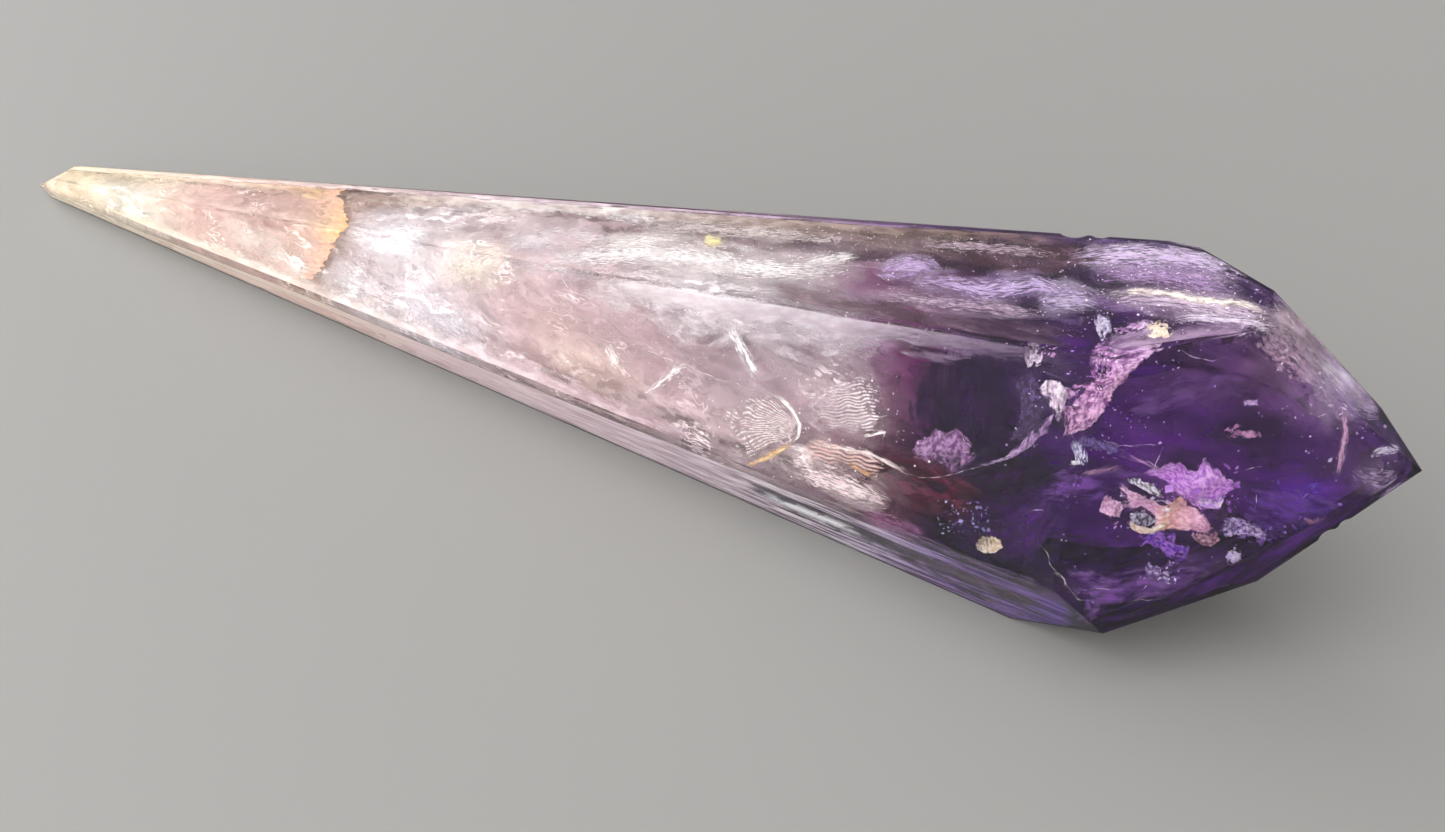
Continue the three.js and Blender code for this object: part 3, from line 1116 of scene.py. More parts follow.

# White and lilac streaks, and two painted highlights along edges: line of pixels, width in pixels, depth,
# dark and light colour, strength, laciness
streaks = {
    "topFirst": (
        ((600, 214), (640, 218), (670, 218)),
        9, 0.8, ((225, 215, 222), (250, 248, 248)), 0.7, 1.54,
    ),
    "topSecond": (
        ((596, 246), (633, 243), (663, 238), (690, 240)),
        9, 0.9, ((225, 215, 215), (252, 250, 245)), 0.9, 1.4,
    ),
    "topMain": (
        (
            (520, 262), (560, 262), (600, 256), (643, 253), (683, 257), (710, 262), (743, 268), (783, 270),
            (833, 270), (868, 268),
        ),
        15, 0.9, ((230, 220, 225), (255, 253, 250)), 0.95, 1.54,
    ),
    "topShort": (
        ((800, 263), (840, 258), (860, 255)),
        7, 0.8, ((225, 215, 220), (252, 250, 248)), 0.8, 1.54,
    ),
    "topLow": (
        ((585, 283), (610, 280), (640, 281), (690, 290), (760, 294), (800, 300)),
        13, 1.6, ((215, 205, 212), (248, 244, 246)), 0.7, 1.82,
    ),
    "thinFibres": (
        ((500, 246), (540, 240), (580, 236), (610, 238)),
        12, 1.0, ((225, 215, 222), (250, 246, 248)), 0.7, 1.82,
    ),
    "yellowSpeck": (
        ((703, 239), (713, 241), (723, 240)),
        9, 0.5, ((236, 226, 160), (250, 245, 200)), 0.95, 0.98,
    ),
    "lilacFirst": (
        ((875, 273), (905, 266), (925, 266), (942, 271)),
        13, 1.0, ((180, 150, 200), (215, 195, 225)), 0.8, 1.54,
    ),
    "lilacSecond": (
        ((905, 280), (953, 284), (983, 291), (1033, 283), (1085, 294)),
        11, 1.2, ((185, 165, 205), (230, 220, 240)), 0.8, 1.82,
    ),
    "creamBand": (
        ((1100, 302), (1140, 297), (1187, 303), (1235, 311), (1280, 322)),
        12, 0.9, ((205, 185, 208), (248, 240, 246)), 0.7, 1.4,
    ),
    "creamLong": (
        (
            (1098, 296), (1130, 292), (1160, 292), (1187, 297), (1213, 302), (1247, 305), (1270, 311),
            (1290, 320),
        ),
        6, 0.6, ((236, 226, 208), (255, 252, 242)), 0.95, 1.12,
    ),
    "lilacTop": (
        ((1068, 258), (1113, 255), (1153, 255), (1193, 259), (1227, 267), (1250, 277)),
        15, 0.8, ((200, 180, 215), (240, 232, 244)), 0.75, 1.68,
    ),
    "lilacMiddle": (
        ((1090, 276), (1130, 274), (1170, 276), (1210, 285), (1245, 295)),
        12, 1.2, ((170, 140, 185), (220, 200, 228)), 0.55, 1.96,
    ),
    "lowWhite": (
        ((1165, 322), (1190, 317), (1213, 318), (1247, 325), (1290, 330)),
        8, 0.7, ((210, 195, 215), (248, 244, 250)), 0.8, 1.82,
    ),
    "lilacPatch": (
        ((1036, 303), (1060, 300), (1085, 300), (1100, 306)),
        14, 1.0, ((180, 165, 200), (235, 228, 242)), 0.6, 1.82,
    ),
    "silhouetteFrost": (
        ((1275, 297), (1300, 324), (1330, 357), (1357, 384), (1378, 408)),
        18, 0.6, ((215, 195, 205), (250, 240, 246)), 0.85, 1.26,
    ),
    "frostCloud": (
        ((1318, 372), (1340, 384), (1362, 398), (1384, 412)),
        26, 1.0, ((200, 190, 215), (240, 236, 244)), 0.75, 1.68,
    ),
    "innerLine": (
        ((1343, 402), (1346, 430), (1342, 453), (1336, 483)),
        5, 0.7, ((210, 160, 185), (235, 210, 225)), 0.8, 1.12,
    ),
    "tipSpecks": (
        ((1352, 470), (1368, 478), (1382, 480), (1398, 474)),
        12, 0.8, ((150, 128, 165), (230, 222, 238)), 0.5, 2.52,
    ),
    "tipGlint": (
        ((1372, 454), (1388, 449), (1400, 450)),
        7, 0.5, ((215, 215, 225), (245, 245, 250)), 0.7, 1.54,
    ),
    "centreLine": (
        ((727, 322), (734, 335), (742, 350), (752, 368), (761, 382)),
        8, 0.6, ((235, 228, 232), (255, 253, 253)), 0.95, 1.4,
    ),
    "slantLine": (
        ((643, 393), (660, 383), (672, 373), (690, 361)),
        6, 0.6, ((235, 225, 228), (252, 250, 250)), 0.85, 1.96,
    ),
    "leftFlecks": (
        ((607, 345), (614, 358), (616, 368)),
        7, 0.6, ((240, 225, 220), (255, 252, 250)), 0.8, 1.68,
    ),
    "lowerFibres": (
        ((402, 298), (430, 318), (456, 336), (478, 352)),
        26, 0.9, ((225, 215, 228), (252, 250, 252)), 0.75, 2.24,
    ),
    "lowerFibresTwo": (
        ((330, 262), (350, 276), (375, 290), (402, 306)),
        22, 0.9, ((230, 215, 220), (250, 246, 248)), 0.6, 2.24,
    ),
    "frostBlob": (
        ((356, 244), (380, 236), (404, 236), (428, 244)),
        26, 1.0, ((232, 228, 240), (255, 254, 255)), 0.75, 1.82,
    ),
    "yellowBlob": (
        ((440, 283), (462, 270), (486, 262), (512, 252)),
        16, 0.9, ((232, 220, 206), (252, 246, 234)), 0.5, 1.82,
    ),
    "greyLace": (
        ((500, 246), (530, 252), (560, 262), (600, 268)),
        22, 1.6, ((190, 180, 188), (235, 230, 236)), 0.5, 2.38,
    ),
    "whiteVeilLow": (
        ((655, 290), (690, 296), (720, 310), (750, 318)),
        30, 1.4, ((215, 208, 212), (242, 238, 240)), 0.55, 1.96,
    ),
    "greyVeil": (
        ((740, 300), (790, 312), (840, 326), (880, 345)),
        34, 1.8, ((180, 170, 182), (215, 208, 218)), 0.5, 2.1,
    ),
    # painted highlight: a magenta line along the ridge above the narrow lower face
    "magentaHighlight": (
        ((858, 512), (880, 520), (902, 530), (925, 540)),
        14, 1.2, ((170, 90, 150), (200, 140, 185)), 0.5, 1.26,
    ),
    # painted highlight: a bright line along the edge of the narrow lower face
    "footShine": (
        ((742, 484), (790, 505), (835, 523), (884, 543)),
        7, 0.2, ((240, 236, 244), (255, 254, 255)), 1.0, 0.21,
    ),
    "fanArc": (
        ((766, 391), (780, 398), (792, 410), (800, 425), (798, 437), (785, 447)),
        4, 0.5, ((240, 230, 228), (255, 252, 250)), 0.95, 0.7,
    ),
    "fanFoot": (
        ((798, 437), (785, 448), (765, 458), (740, 470)),
        5, 0.5, ((205, 160, 100), (240, 215, 180)), 0.9, 0.7,
    ),
    "shelfAmber": (
        ((845, 462), (860, 470), (876, 478)),
        4, 0.6, ((205, 150, 100), (225, 190, 150)), 0.7, 0.84,
    ),
    "rippleHook": (
        ((860, 437), (885, 432), (884, 440)),
        3, 0.5, ((235, 225, 225), (250, 248, 246)), 0.9, 0.84,
    ),
    "shelfLine": (
        ((800, 440), (830, 446), (865, 452), (900, 468), (915, 478)),
        4, 0.5, ((235, 215, 215), (255, 248, 246)), 0.8, 1.26,
    ),
    "darkShelf": (
        ((805, 452), (835, 462), (866, 472), (880, 478)),
        8, 0.9, ((120, 95, 105), (165, 140, 145)), 0.5, 1.4,
    ),
    "topFineOne": (
        ((905, 240), (960, 246), (1015, 250), (1060, 256)),
        7, 0.6, ((150, 125, 140), (230, 215, 225)), 0.6, 1.82,
    ),
    "topFineTwo": (
        ((640, 232), (700, 228), (760, 232), (830, 240)),
        9, 0.6, ((190, 172, 172), (245, 238, 236)), 0.6, 1.96,
    ),
    "topFineThree": (
        ((860, 292), (920, 300), (980, 306), (1050, 316)),
        9, 0.6, ((160, 135, 155), (225, 208, 222)), 0.6, 1.82,
    ),
    "crossOne": (
        ((1126, 453), (1146, 464), (1166, 474)),
        2.5, 1.0, ((175, 125, 180), (215, 170, 215)), 0.8, 0.7,
    ),
    "crossTwo": (
        ((1080, 476), (1100, 470), (1124, 466)),
        5, 1.0, ((150, 110, 140), (200, 170, 180)), 0.7, 1.26,
    ),
    "whiteFoot": (
        ((790, 468), (830, 480), (862, 492), (892, 506)),
        15, 0.6, ((235, 210, 215), (250, 240, 242)), 0.7, 1.4,
    ),
}
# The streaks themselves, and a wide faint glow along those wider than glowFrom with more points than
# glowPoints
streakForm = {
    "widen": 2.2,
    "glowWiden": 4.0,
    "glowDeepen": 1.4,
    "glowStrength": 0.32,
    "glowLace": 1.2,
    "glowFrom": 8,
    "glowPoints": 3,
}
whiteLeaves = [
    leaf(
        ribbon(line, width * streakForm["widen"], depth, relief=0.2, seed=50 + i),
        colours, milk, lace, soft=(0.5, 0.5, 0.3),
    )
    for i, (line, width, depth, colours, milk, lace) in enumerate(streaks.values())
]
glowLeaves = [
    leaf(
        ribbon(
            line, width * streakForm["glowWiden"], depth * streakForm["glowDeepen"],
            relief=0.3, seed=250 + i,
        ),
        colours, milk * streakForm["glowStrength"], streakForm["glowLace"], soft=(0.5, 0.5, 0.35),
    )
    for i, (line, width, depth, colours, milk, lace) in enumerate(streaks.values())
    if width > streakForm["glowFrom"] and len(line) > streakForm["glowPoints"]
]
showVeil("whiteStreaks", whiteLeaves, size=0.36, stretch=4.0, low=0.3, high=1.05)

# The fan-shaped fracture with ribs, the fingerprint ripples beside it, and the peach shelf under them
fan = {
    "rim": (
        (770, 388), (752, 388), (735, 395), (722, 405), (716, 420), (718, 436), (724, 450), (732, 462),
        (742, 470),
    ),
    "heart": ((799, 424), (797, 428), (795, 432), (794, 436)),
    "ripplesTop": ((795, 402), (812, 385), (835, 371), (857, 367), (878, 378)),
    "ripplesFoot": ((800, 424), (818, 431), (850, 437), (880, 440), (900, 432)),
    "shelfTop": ((803, 436), (830, 441), (860, 450), (892, 462)),
    "shelfFoot": ((790, 458), (822, 468), (850, 477), (880, 482)),
}
fanLeaves = [
    leaf(
        between(fan["rim"], fan["heart"], (1.6, 0.5), rows=20, columns=80, relief=0.15, seed=3),
        ((214, 190, 192), (255, 250, 248)),
        milk=0.72, lace=1.0, soft=(0.6, 0.05, 0.15), ribs=(24, 1.0),
    ),
    leaf(
        between(fan["ripplesTop"], fan["ripplesFoot"], (0.9, 0.6), rows=30, columns=60, relief=0.2, seed=4),
        (((0, (205, 188, 196)), (1, (240, 226, 230))), (252, 246, 246)),
        milk=((0, 0.4), (0.5, 0.45), (0.8, 0.9), (1, 0.6)), lace=1.2, soft=(0.5, 0.3, 0.45), ribs=(0.8, 20),
    ),
    leaf(
        between(fan["shelfTop"], fan["shelfFoot"], (0.6, 1.4), rows=20, columns=60, relief=0.1, seed=5),
        ((240, 200, 194), (255, 228, 222)),
        milk=0.6, lace=0.6, soft=(0.15, 0.6, 0.25), ribs=(0.6, 7),
    ),
]
showVeil("fanFracture", fanLeaves, size=1.2, stretch=1.2)

# Broad soft shades in the stone: two lines of pixels, depths, dark and light colour, strength, laciness
shades = {
    "smokyTop": (
        ((640, 209), (760, 217), (900, 227), (1040, 236), (1190, 246)),
        (
            (640, 222), (760, 234), (860, 248), (940, 262), (1010, 284), (1064, 284), (1110, 264),
            (1185, 256),
        ),
        (1.2, 2.6),
        (
            ((0, (176, 152, 150)), (0.4, (136, 112, 110)), (0.6, (84, 60, 64)), (1, (72, 46, 62))),
            ((0, (196, 176, 174)), (0.4, (152, 130, 132)), (0.6, (106, 86, 92)), (1, (104, 80, 98))),
        ),
        0.8, 1.0,
    ),
    "plumTop": (
        ((1170, 326), (1200, 324), (1240, 330), (1262, 330)),
        ((1160, 344), (1190, 344), (1225, 336), (1256, 334)),
        (1.0, 2.0), ((55, 28, 62), (95, 65, 100)), 0.7, 0.8,
    ),
    # maroonShade, nightPocket, nightBand and footNight are dark sheets at the thick end: partly the stone's
    # deep violet, partly painted shade
    "maroonShade": (
        ((862, 448), (890, 436), (925, 446), (960, 470), (985, 492)),
        ((842, 494), (880, 512), (920, 526), (960, 524), (990, 510)),
        (1.0, 2.4), ((52, 8, 30), (92, 30, 60)), 0.9, 1.0,
    ),
    "nightPocket": (
        ((985, 350), (1005, 360), (1018, 378), (1023, 400), (1020, 422), (1009, 438), (988, 454)),
        ((936, 348), (922, 362), (912, 382), (908, 408), (912, 430), (924, 446), (944, 460)),
        (0.9, 2.4), ((22, 0, 40), (42, 2, 62)), 0.98, (0.1, 1.3),
    ),
    "nightBand": (
        ((915, 478), (950, 480), (990, 466), (1022, 452), (1046, 446)),
        ((930, 500), (960, 508), (1000, 508), (1034, 490), (1054, 466)),
        (1.2, 2.4), ((22, 0, 36), (42, 8, 58)), 0.96, 0.8,
    ),
    "violetLeft": (
        ((1046, 470), (1100, 458), (1150, 468)),
        ((1040, 504), (1090, 508), (1144, 490)),
        (2.0, 3.0), ((66, 24, 104), (150, 98, 190)), 0.5, 1.6,
    ),
    "violetTop": (
        ((1132, 392), (1180, 372), (1246, 368)),
        ((1124, 424), (1180, 412), (1256, 402)),
        (2.0, 3.0), ((74, 36, 104), (146, 108, 172)), 0.4, 1.6,
    ),
    "violetRight": (
        ((1246, 470), (1292, 478), (1342, 498)),
        ((1240, 524), (1284, 544), (1330, 542)),
        (2.0, 3.0), ((66, 24, 120), (150, 104, 206)), 0.5, 1.6,
    ),
    "violetLow": (
        ((1064, 566), (1120, 572), (1204, 554)),
        ((1080, 626), (1140, 608), (1216, 590)),
        (1.5, 2.5), ((80, 36, 116), (168, 122, 200)), 0.55, 1.6,
    ),
    "footNight": (
        ((985, 520), (1020, 500), (1050, 480), (1062, 470)),
        ((960, 548), (1000, 585), (1030, 575), (1060, 520)),
        (3.0, 4.0), ((52, 16, 78), (74, 30, 104)), 0.85, 0.8,
    ),
    "greyShadow": (
        ((350, 189), (385, 190), (425, 194), (452, 199)),
        ((345, 214), (375, 214), (410, 212), (446, 207)),
        (0.6, 1.4), ((160, 136, 130), (198, 174, 166)), 0.6, 0.9,
    ),
    "lowerFace": (
        ((880, 520), (930, 540), (980, 560), (1040, 585)),
        ((890, 532), (930, 548), (980, 568), (1035, 590)),
        (1.5, 3.0), ((110, 60, 130), (150, 120, 175)), 0.75, 0.9,
    ),
}
# Hazes that stop sharply at a ridge: line along the ridge, faded line, and the rest as for the shades
hazes = {
    # a pale band under the front face along its ridge: partly milky veil, partly painted sheen that makes the
    # ridge show
    "frontHazeAndSheen": (
        ((590, 273), (660, 285), (740, 297), (800, 307), (870, 320), (950, 333), (1020, 346), (1080, 355)),
        (
            (560, 300), (620, 318), (690, 362), (760, 350), (820, 372), (890, 352), (950, 366), (1016, 362),
            (1070, 384),
        ),
        (0.4, 1.4),
        (
            ((0, (228, 216, 220)), (0.5, (206, 192, 202)), (0.75, (160, 140, 162)), (1, (132, 106, 146))),
            ((0, (250, 244, 246)), (0.5, (232, 222, 230)), (0.75, (186, 168, 190)), (1, (165, 140, 180))),
        ),
        ((0, 0.35), (0.2, 0.6), (0.6, 0.55), (1, 0.15)),
        (0.1, 1.9),
    ),
    # painted shade: a dark band on the top side along the same ridge
    "ridgeShade": (
        ((760, 295), (840, 310), (920, 324), (1000, 338), (1080, 351)),
        ((770, 276), (840, 290), (920, 300), (1000, 312), (1074, 322)),
        (0.5, 1.4),
        (
            ((0, (150, 126, 134)), (0.4, (92, 68, 82)), (1, (62, 38, 66))),
            ((0, (180, 158, 164)), (0.4, (130, 106, 120)), (1, (104, 80, 108))),
        ),
        0.7, (0.1, 1.4),
    ),
    # painted reflection: a dark stripe on the narrow lower face where it mirrors the shaded floor in front of
    # the stone
    "stripShadeReflection": (
        ((740, 477), (820, 510), (900, 544), (1000, 586), (1050, 604)),
        ((740, 490), (820, 526), (900, 564), (1000, 608), (1050, 626)),
        (0.3, 0.4), ((52, 34, 60), (110, 88, 118)), 0.75, (0.3, 1.4),
    ),
    "endHaze": (
        ((1106, 352), (1150, 345), (1200, 338), (1252, 332)),
        ((1108, 332), (1150, 326), (1200, 318), (1248, 314)),
        (0.4, 1.2), ((150, 120, 156), (196, 172, 200)), 0.6, (0.1, 1.4),
    ),
    "edgeHaze": (
        ((1278, 300), (1310, 330), (1345, 367), (1380, 406)),
        ((1254, 320), (1284, 356), (1314, 392), (1342, 424)),
        (0.4, 1.2),
        (
            ((0, (196, 168, 182)), (0.4, (156, 132, 152)), (0.7, (212, 196, 230)), (1, (140, 116, 164))),
            ((0, (246, 234, 240)), (0.4, (228, 210, 222)), (0.7, (255, 252, 255)), (1, (216, 202, 240))),
        ),
        ((0, 0.6), (0.4, 0.4), (0.7, 0.95), (1, 0.4)),
        (0.1, 1.5),
    ),
    "thinCrest": (
        ((100, 170), (180, 176), (260, 181), (336, 186)),
        ((104, 178), (180, 186), (260, 195), (334, 204)),
        (0.3, 0.8),
        (
            ((0, (238, 226, 198)), (0.5, (234, 210, 194)), (0.8, (230, 200, 178)), (1, (226, 184, 140))),
            ((0, (255, 250, 232)), (0.5, (250, 236, 226)), (0.8, (248, 228, 206)), (1, (246, 214, 172))),
        ),
        0.75, (0.2, 1.6),
    ),
    "crestHaze": (
        (
            (352, 188), (430, 194), (500, 199), (620, 207), (700, 213), (800, 220), (900, 227), (1000, 232),
            (1090, 238),
        ),
        (
            (352, 204), (430, 212), (500, 216), (620, 224), (700, 230), (800, 237), (900, 243), (1000, 246),
            (1090, 250),
        ),
        (0.3, 1.0),
        (
            (
                (0, (188, 162, 152)), (0.08, (204, 184, 176)), (0.2, (218, 204, 202)),
                (0.35, (206, 192, 190)), (0.47, (176, 156, 152)), (0.6, (152, 130, 124)),
                (0.74, (120, 98, 94)), (0.85, (98, 78, 76)), (1, (86, 60, 82)),
            ),
            (
                (0, (218, 194, 180)), (0.08, (238, 226, 218)), (0.2, (246, 238, 236)),
                (0.35, (250, 246, 242)), (0.47, (228, 214, 210)), (0.6, (200, 180, 172)),
                (0.74, (164, 142, 136)), (0.85, (144, 122, 118)), (1, (136, 108, 130)),
            ),
        ),
        0.75, (0.2, 1.6),
    ),
    # pale along the ridge above the narrow lower face: partly milky stone, partly painted highlight along
    # that edge
    "footHazeAndHighlight": (
        (
            (70, 194), (140, 224), (220, 256), (300, 288), (380, 320), (460, 352), (540, 384), (620, 416),
            (700, 448),
        ),
        (
            (72, 186), (144, 212), (226, 240), (308, 270), (388, 302), (468, 333), (546, 366), (624, 400),
            (702, 434),
        ),
        (0.3, 1.0),
        (
            (
                (0, (246, 234, 208)), (0.3, (244, 226, 214)), (0.5, (238, 222, 220)),
                (0.65, (224, 204, 208)), (0.8, (204, 178, 184)), (1, (188, 158, 170)),
            ),
            (
                (0, (255, 250, 236)), (0.3, (255, 246, 240)), (0.5, (255, 250, 250)),
                (0.65, (250, 240, 244)), (0.8, (236, 218, 224)), (1, (222, 200, 210)),
            ),
        ),
        0.65, (0.2, 1.7),
    ),
}
shadeLeaves = sheetLeaves(
    shades, seed=140, soft=(0.35, 0.45, 0.22), thickness=0.2, rows=16, columns=90, relief=0.4,
)
hazeLeaves = sheetLeaves(hazes, seed=170, soft=(0.02, 0.9, 0.12), rows=16, columns=110, relief=0.2)
showVeil("softShades", glowLeaves + shadeLeaves + hazeLeaves, size=2.6, stretch=2.2, low=0.05, high=1.0)

# The narrow lower face: a streaky veil along its whole length, partly the stone's own streaks and partly
# painted reflection on that face
foot = {
    "top": ((52, 190), (140, 230), (300, 293), (460, 358), (620, 422), (780, 486), (940, 551), (1080, 609)),
    "bottom": (
        (60, 205), (140, 245), (300, 316), (460, 388), (620, 458), (780, 532), (940, 602), (1066, 652),
    ),
    "depth": (0.5, 0.8),
    "dark": (
        (0, (255, 240, 216)), (0.25, (252, 232, 218)), (0.4, (226, 200, 204)), (0.6, (200, 178, 188)),
        (0.75, (118, 94, 122)), (0.86, (76, 44, 100)), (1, (62, 24, 106)),
    ),
    "light": (
        (0, (255, 250, 234)), (0.25, (255, 244, 236)), (0.4, (252, 234, 238)), (0.6, (248, 232, 242)),
        (0.75, (255, 246, 252)), (0.86, (178, 152, 208)), (1, (110, 72, 172)),
    ),
}
footLeaf = leaf(
    between(foot["top"], foot["bottom"], foot["depth"], rows=14, columns=260, relief=0.05, seed=31),
    (foot["dark"], foot["light"]), milk=0.85, lace=0.35, soft=(0.08, 0.08, 0.02), thickness=0.15, margin=0.25,
)
showVeil("footVeilAndReflection", [footLeaf], size=0.9, stretch=14.0, low=0.05, high=0.8)

# Milky skins just inside the surface, which the stone's light ends on: one under it, one along its back.
# "turn" is the stretch round the axis in degrees from +Y towards +Z
skins = {
    "bottomSkin": {
        "turn": (215, 375),
        "milk": 0.97,
        "lace": 0.1,
        "share": 0.955,
        "margin": 0.35,
        "soft": (0.03, 0.06, 0.01),
        # towards the thick end the colours turn dark violet: partly the stone's deep violet, partly painted
        # shade
        "dark": (
            (0, (246, 234, 214)), (0.3, (226, 196, 188)), (0.45, (196, 168, 178)), (0.62, (160, 132, 150)),
            (0.72, (84, 36, 84)), (0.8, (34, 6, 50)), (1, (34, 8, 52)),
        ),
        "light": (
            (0, (255, 248, 232)), (0.3, (246, 222, 212)), (0.45, (226, 204, 210)), (0.62, (200, 176, 192)),
            (0.72, (124, 66, 128)), (0.8, (84, 28, 120)), (1, (76, 30, 112)),
        ),
    },
    "backSkin": {
        "turn": (368, 423),
        "milk": ((0, 0.9), (0.6, 0.8), (0.75, 0.55), (1, 0.4)),
        "lace": (0.1, 1.4),
        "share": 0.972,
        "margin": 0.18,
        "soft": (0.1, 0.15, 0.01),
        "dark": (
            (0, (244, 228, 202)), (0.2, (228, 202, 192)), (0.3, (218, 196, 196)), (0.45, (212, 190, 200)),
            (0.6, (190, 160, 182)), (0.7, (142, 104, 152)), (0.8, (88, 50, 118)), (1, (80, 40, 116)),
        ),
        "light": (
            (0, (255, 248, 230)), (0.2, (255, 238, 230)), (0.3, (252, 236, 236)), (0.45, (248, 232, 242)),
            (0.6, (232, 208, 230)), (0.7, (190, 156, 206)), (0.8, (140, 104, 176)), (1, (128, 90, 170)),
        ),
    },
}
skinForm = {
    "x": (-121.5, 120),
    "rings": 240,
    "turnStep": 3.0,
}


def makeSkins():
    # a share of the surface's distance from the axis, over a stretch of turns
    leaves = []
    for skin in skins.values():
        x = np.linspace(*skinForm["x"], skinForm["rings"])
        turn = np.radians(np.arange(*skin["turn"], skinForm["turnStep"]))
        radius = sectionRadius(x, turn) * skin["share"]
        direction = awayFromAxis(turn)[:, None]
        points = axisPoints(x)[None] + direction * radius.T[..., None]
        leaves.append(leaf(
            (points, direction + np.zeros_like(points)), (skin["dark"], skin["light"]),
            skin["milk"], skin["lace"], skin["soft"], margin=skin["margin"],
        ))
    showVeil("milkySkins", leaves, size=3.0, stretch=3.0, low=0.0, high=0.5)


makeSkins()

# The flake cluster: upper line, lower line, depths, dark and light colour, strength, laciness
cluster = {
    "lilacSheet": (
        (
            (1143, 472), (1160, 467), (1170, 460), (1180, 462), (1190, 470), (1198, 470), (1204, 457),
            (1211, 463), (1222, 473), (1237, 484),
        ),
        (
            (1143, 474), (1160, 479), (1171, 486), (1178, 497), (1190, 505), (1202, 512), (1213, 508),
            (1222, 499), (1230, 493), (1236, 487),
        ),
        (1.2, 1.8), ((178, 108, 206), (250, 206, 255)), 0.95, 1.33,
    ),
    "pinkSquare": (
        ((1104, 494), (1114, 498), (1125, 503)),
        ((1098, 513), (1108, 517), (1120, 518)),
        (1.2, 1.4), ((186, 132, 170), (250, 216, 236)), 0.97, 0.61,
    ),
    "mainSheet": (
        (
            (1116, 478), (1127, 487), (1137, 492), (1147, 497), (1163, 504), (1172, 500), (1181, 494),
            (1190, 502), (1199, 508), (1208, 517), (1214, 531),
        ),
        (
            (1124, 513), (1134, 510), (1143, 508), (1150, 512), (1156, 518), (1153, 533), (1163, 532),
            (1174, 531), (1189, 532), (1203, 533), (1213, 535),
        ),
        (1.1, 1.5),
        (
            (
                (0, (198, 140, 184)), (0.35, (214, 160, 184)), (0.55, (222, 166, 136)),
                (0.8, (206, 144, 170)), (1, (172, 112, 156)),
            ),
            (
                (0, (255, 220, 240)), (0.35, (255, 236, 240)), (0.55, (255, 226, 192)),
                (0.8, (252, 214, 226)), (1, (236, 190, 214)),
            ),
        ),
        0.98, 0.85,
    ),
    "creamRim": (
        ((1128, 523), (1132, 518), (1138, 525), (1150, 528), (1158, 523), (1167, 521)),
        ((1129, 525), (1133, 531), (1140, 534), (1152, 534), (1160, 530), (1168, 526)),
        (1.0, 1.2), ((210, 180, 140), (255, 250, 232)), 0.97, 0.73,
    ),
    # this lens and the bow below are dark fracture gaps whose near-white colours are painted glints
    "darkLens": (
        ((1128, 515), (1137, 510), (1148, 513), (1157, 519)),
        ((1130, 521), (1138, 526), (1148, 527), (1155, 522)),
        (0.9, 1.0), ((48, 36, 62), (206, 206, 226)), 0.92, 0.73,
    ),
    "glintBow": (
        ((1126, 476), (1138, 479), (1152, 483), (1161, 490)),
        ((1127, 482), (1138, 487), (1150, 494), (1164, 499)),
        (0.9, 1.0), ((60, 54, 76), (252, 252, 255)), 0.95, 0.97,
    ),
    "lilacCurl": (
        ((1196, 500), (1203, 497), (1214, 500), (1222, 493)),
        ((1199, 506), (1208, 509), (1219, 510), (1225, 500)),
        (1.1, 1.3), ((190, 140, 234), (255, 248, 255)), 0.95, 0.97,
    ),
    "brownEdge": (
        ((1188, 532), (1198, 532), (1208, 534), (1219, 530)),
        ((1192, 538), (1201, 545), (1211, 547), (1221, 541)),
        (1.0, 1.2), ((100, 56, 84), (224, 178, 194)), 0.9, 1.33,
    ),
    "rightFeather": (
        ((1221, 526), (1230, 517), (1242, 518), (1256, 524), (1268, 535)),
        ((1224, 538), (1236, 536), (1246, 535), (1256, 538), (1266, 541)),
        (1.1, 1.4), ((90, 56, 140), (236, 222, 252)), 0.85, 1.81,
    ),
    "pebble": (
        ((975, 544), (981, 537), (992, 535), (1002, 541)),
        ((976, 549), (984, 554), (995, 554), (1004, 547)),
        (0.8, 1.0),
        (((0, (120, 112, 100)), (1, (196, 168, 132))), ((0, (200, 194, 180)), (1, (240, 226, 200)))), 0.98,
        0.61,
    ),
}
clusterLeaves = sheetLeaves(
    cluster, seed=200, soft=(0.2, 0.2, 0.12), rows=14, columns=60, relief=0.35, jag=0.7,
)
showVeil(
    "flakeCluster", clusterLeaves, size=0.9, stretch=1.4, low=0.15, high=0.6, roughness=0.3, gloss=0.5,
)

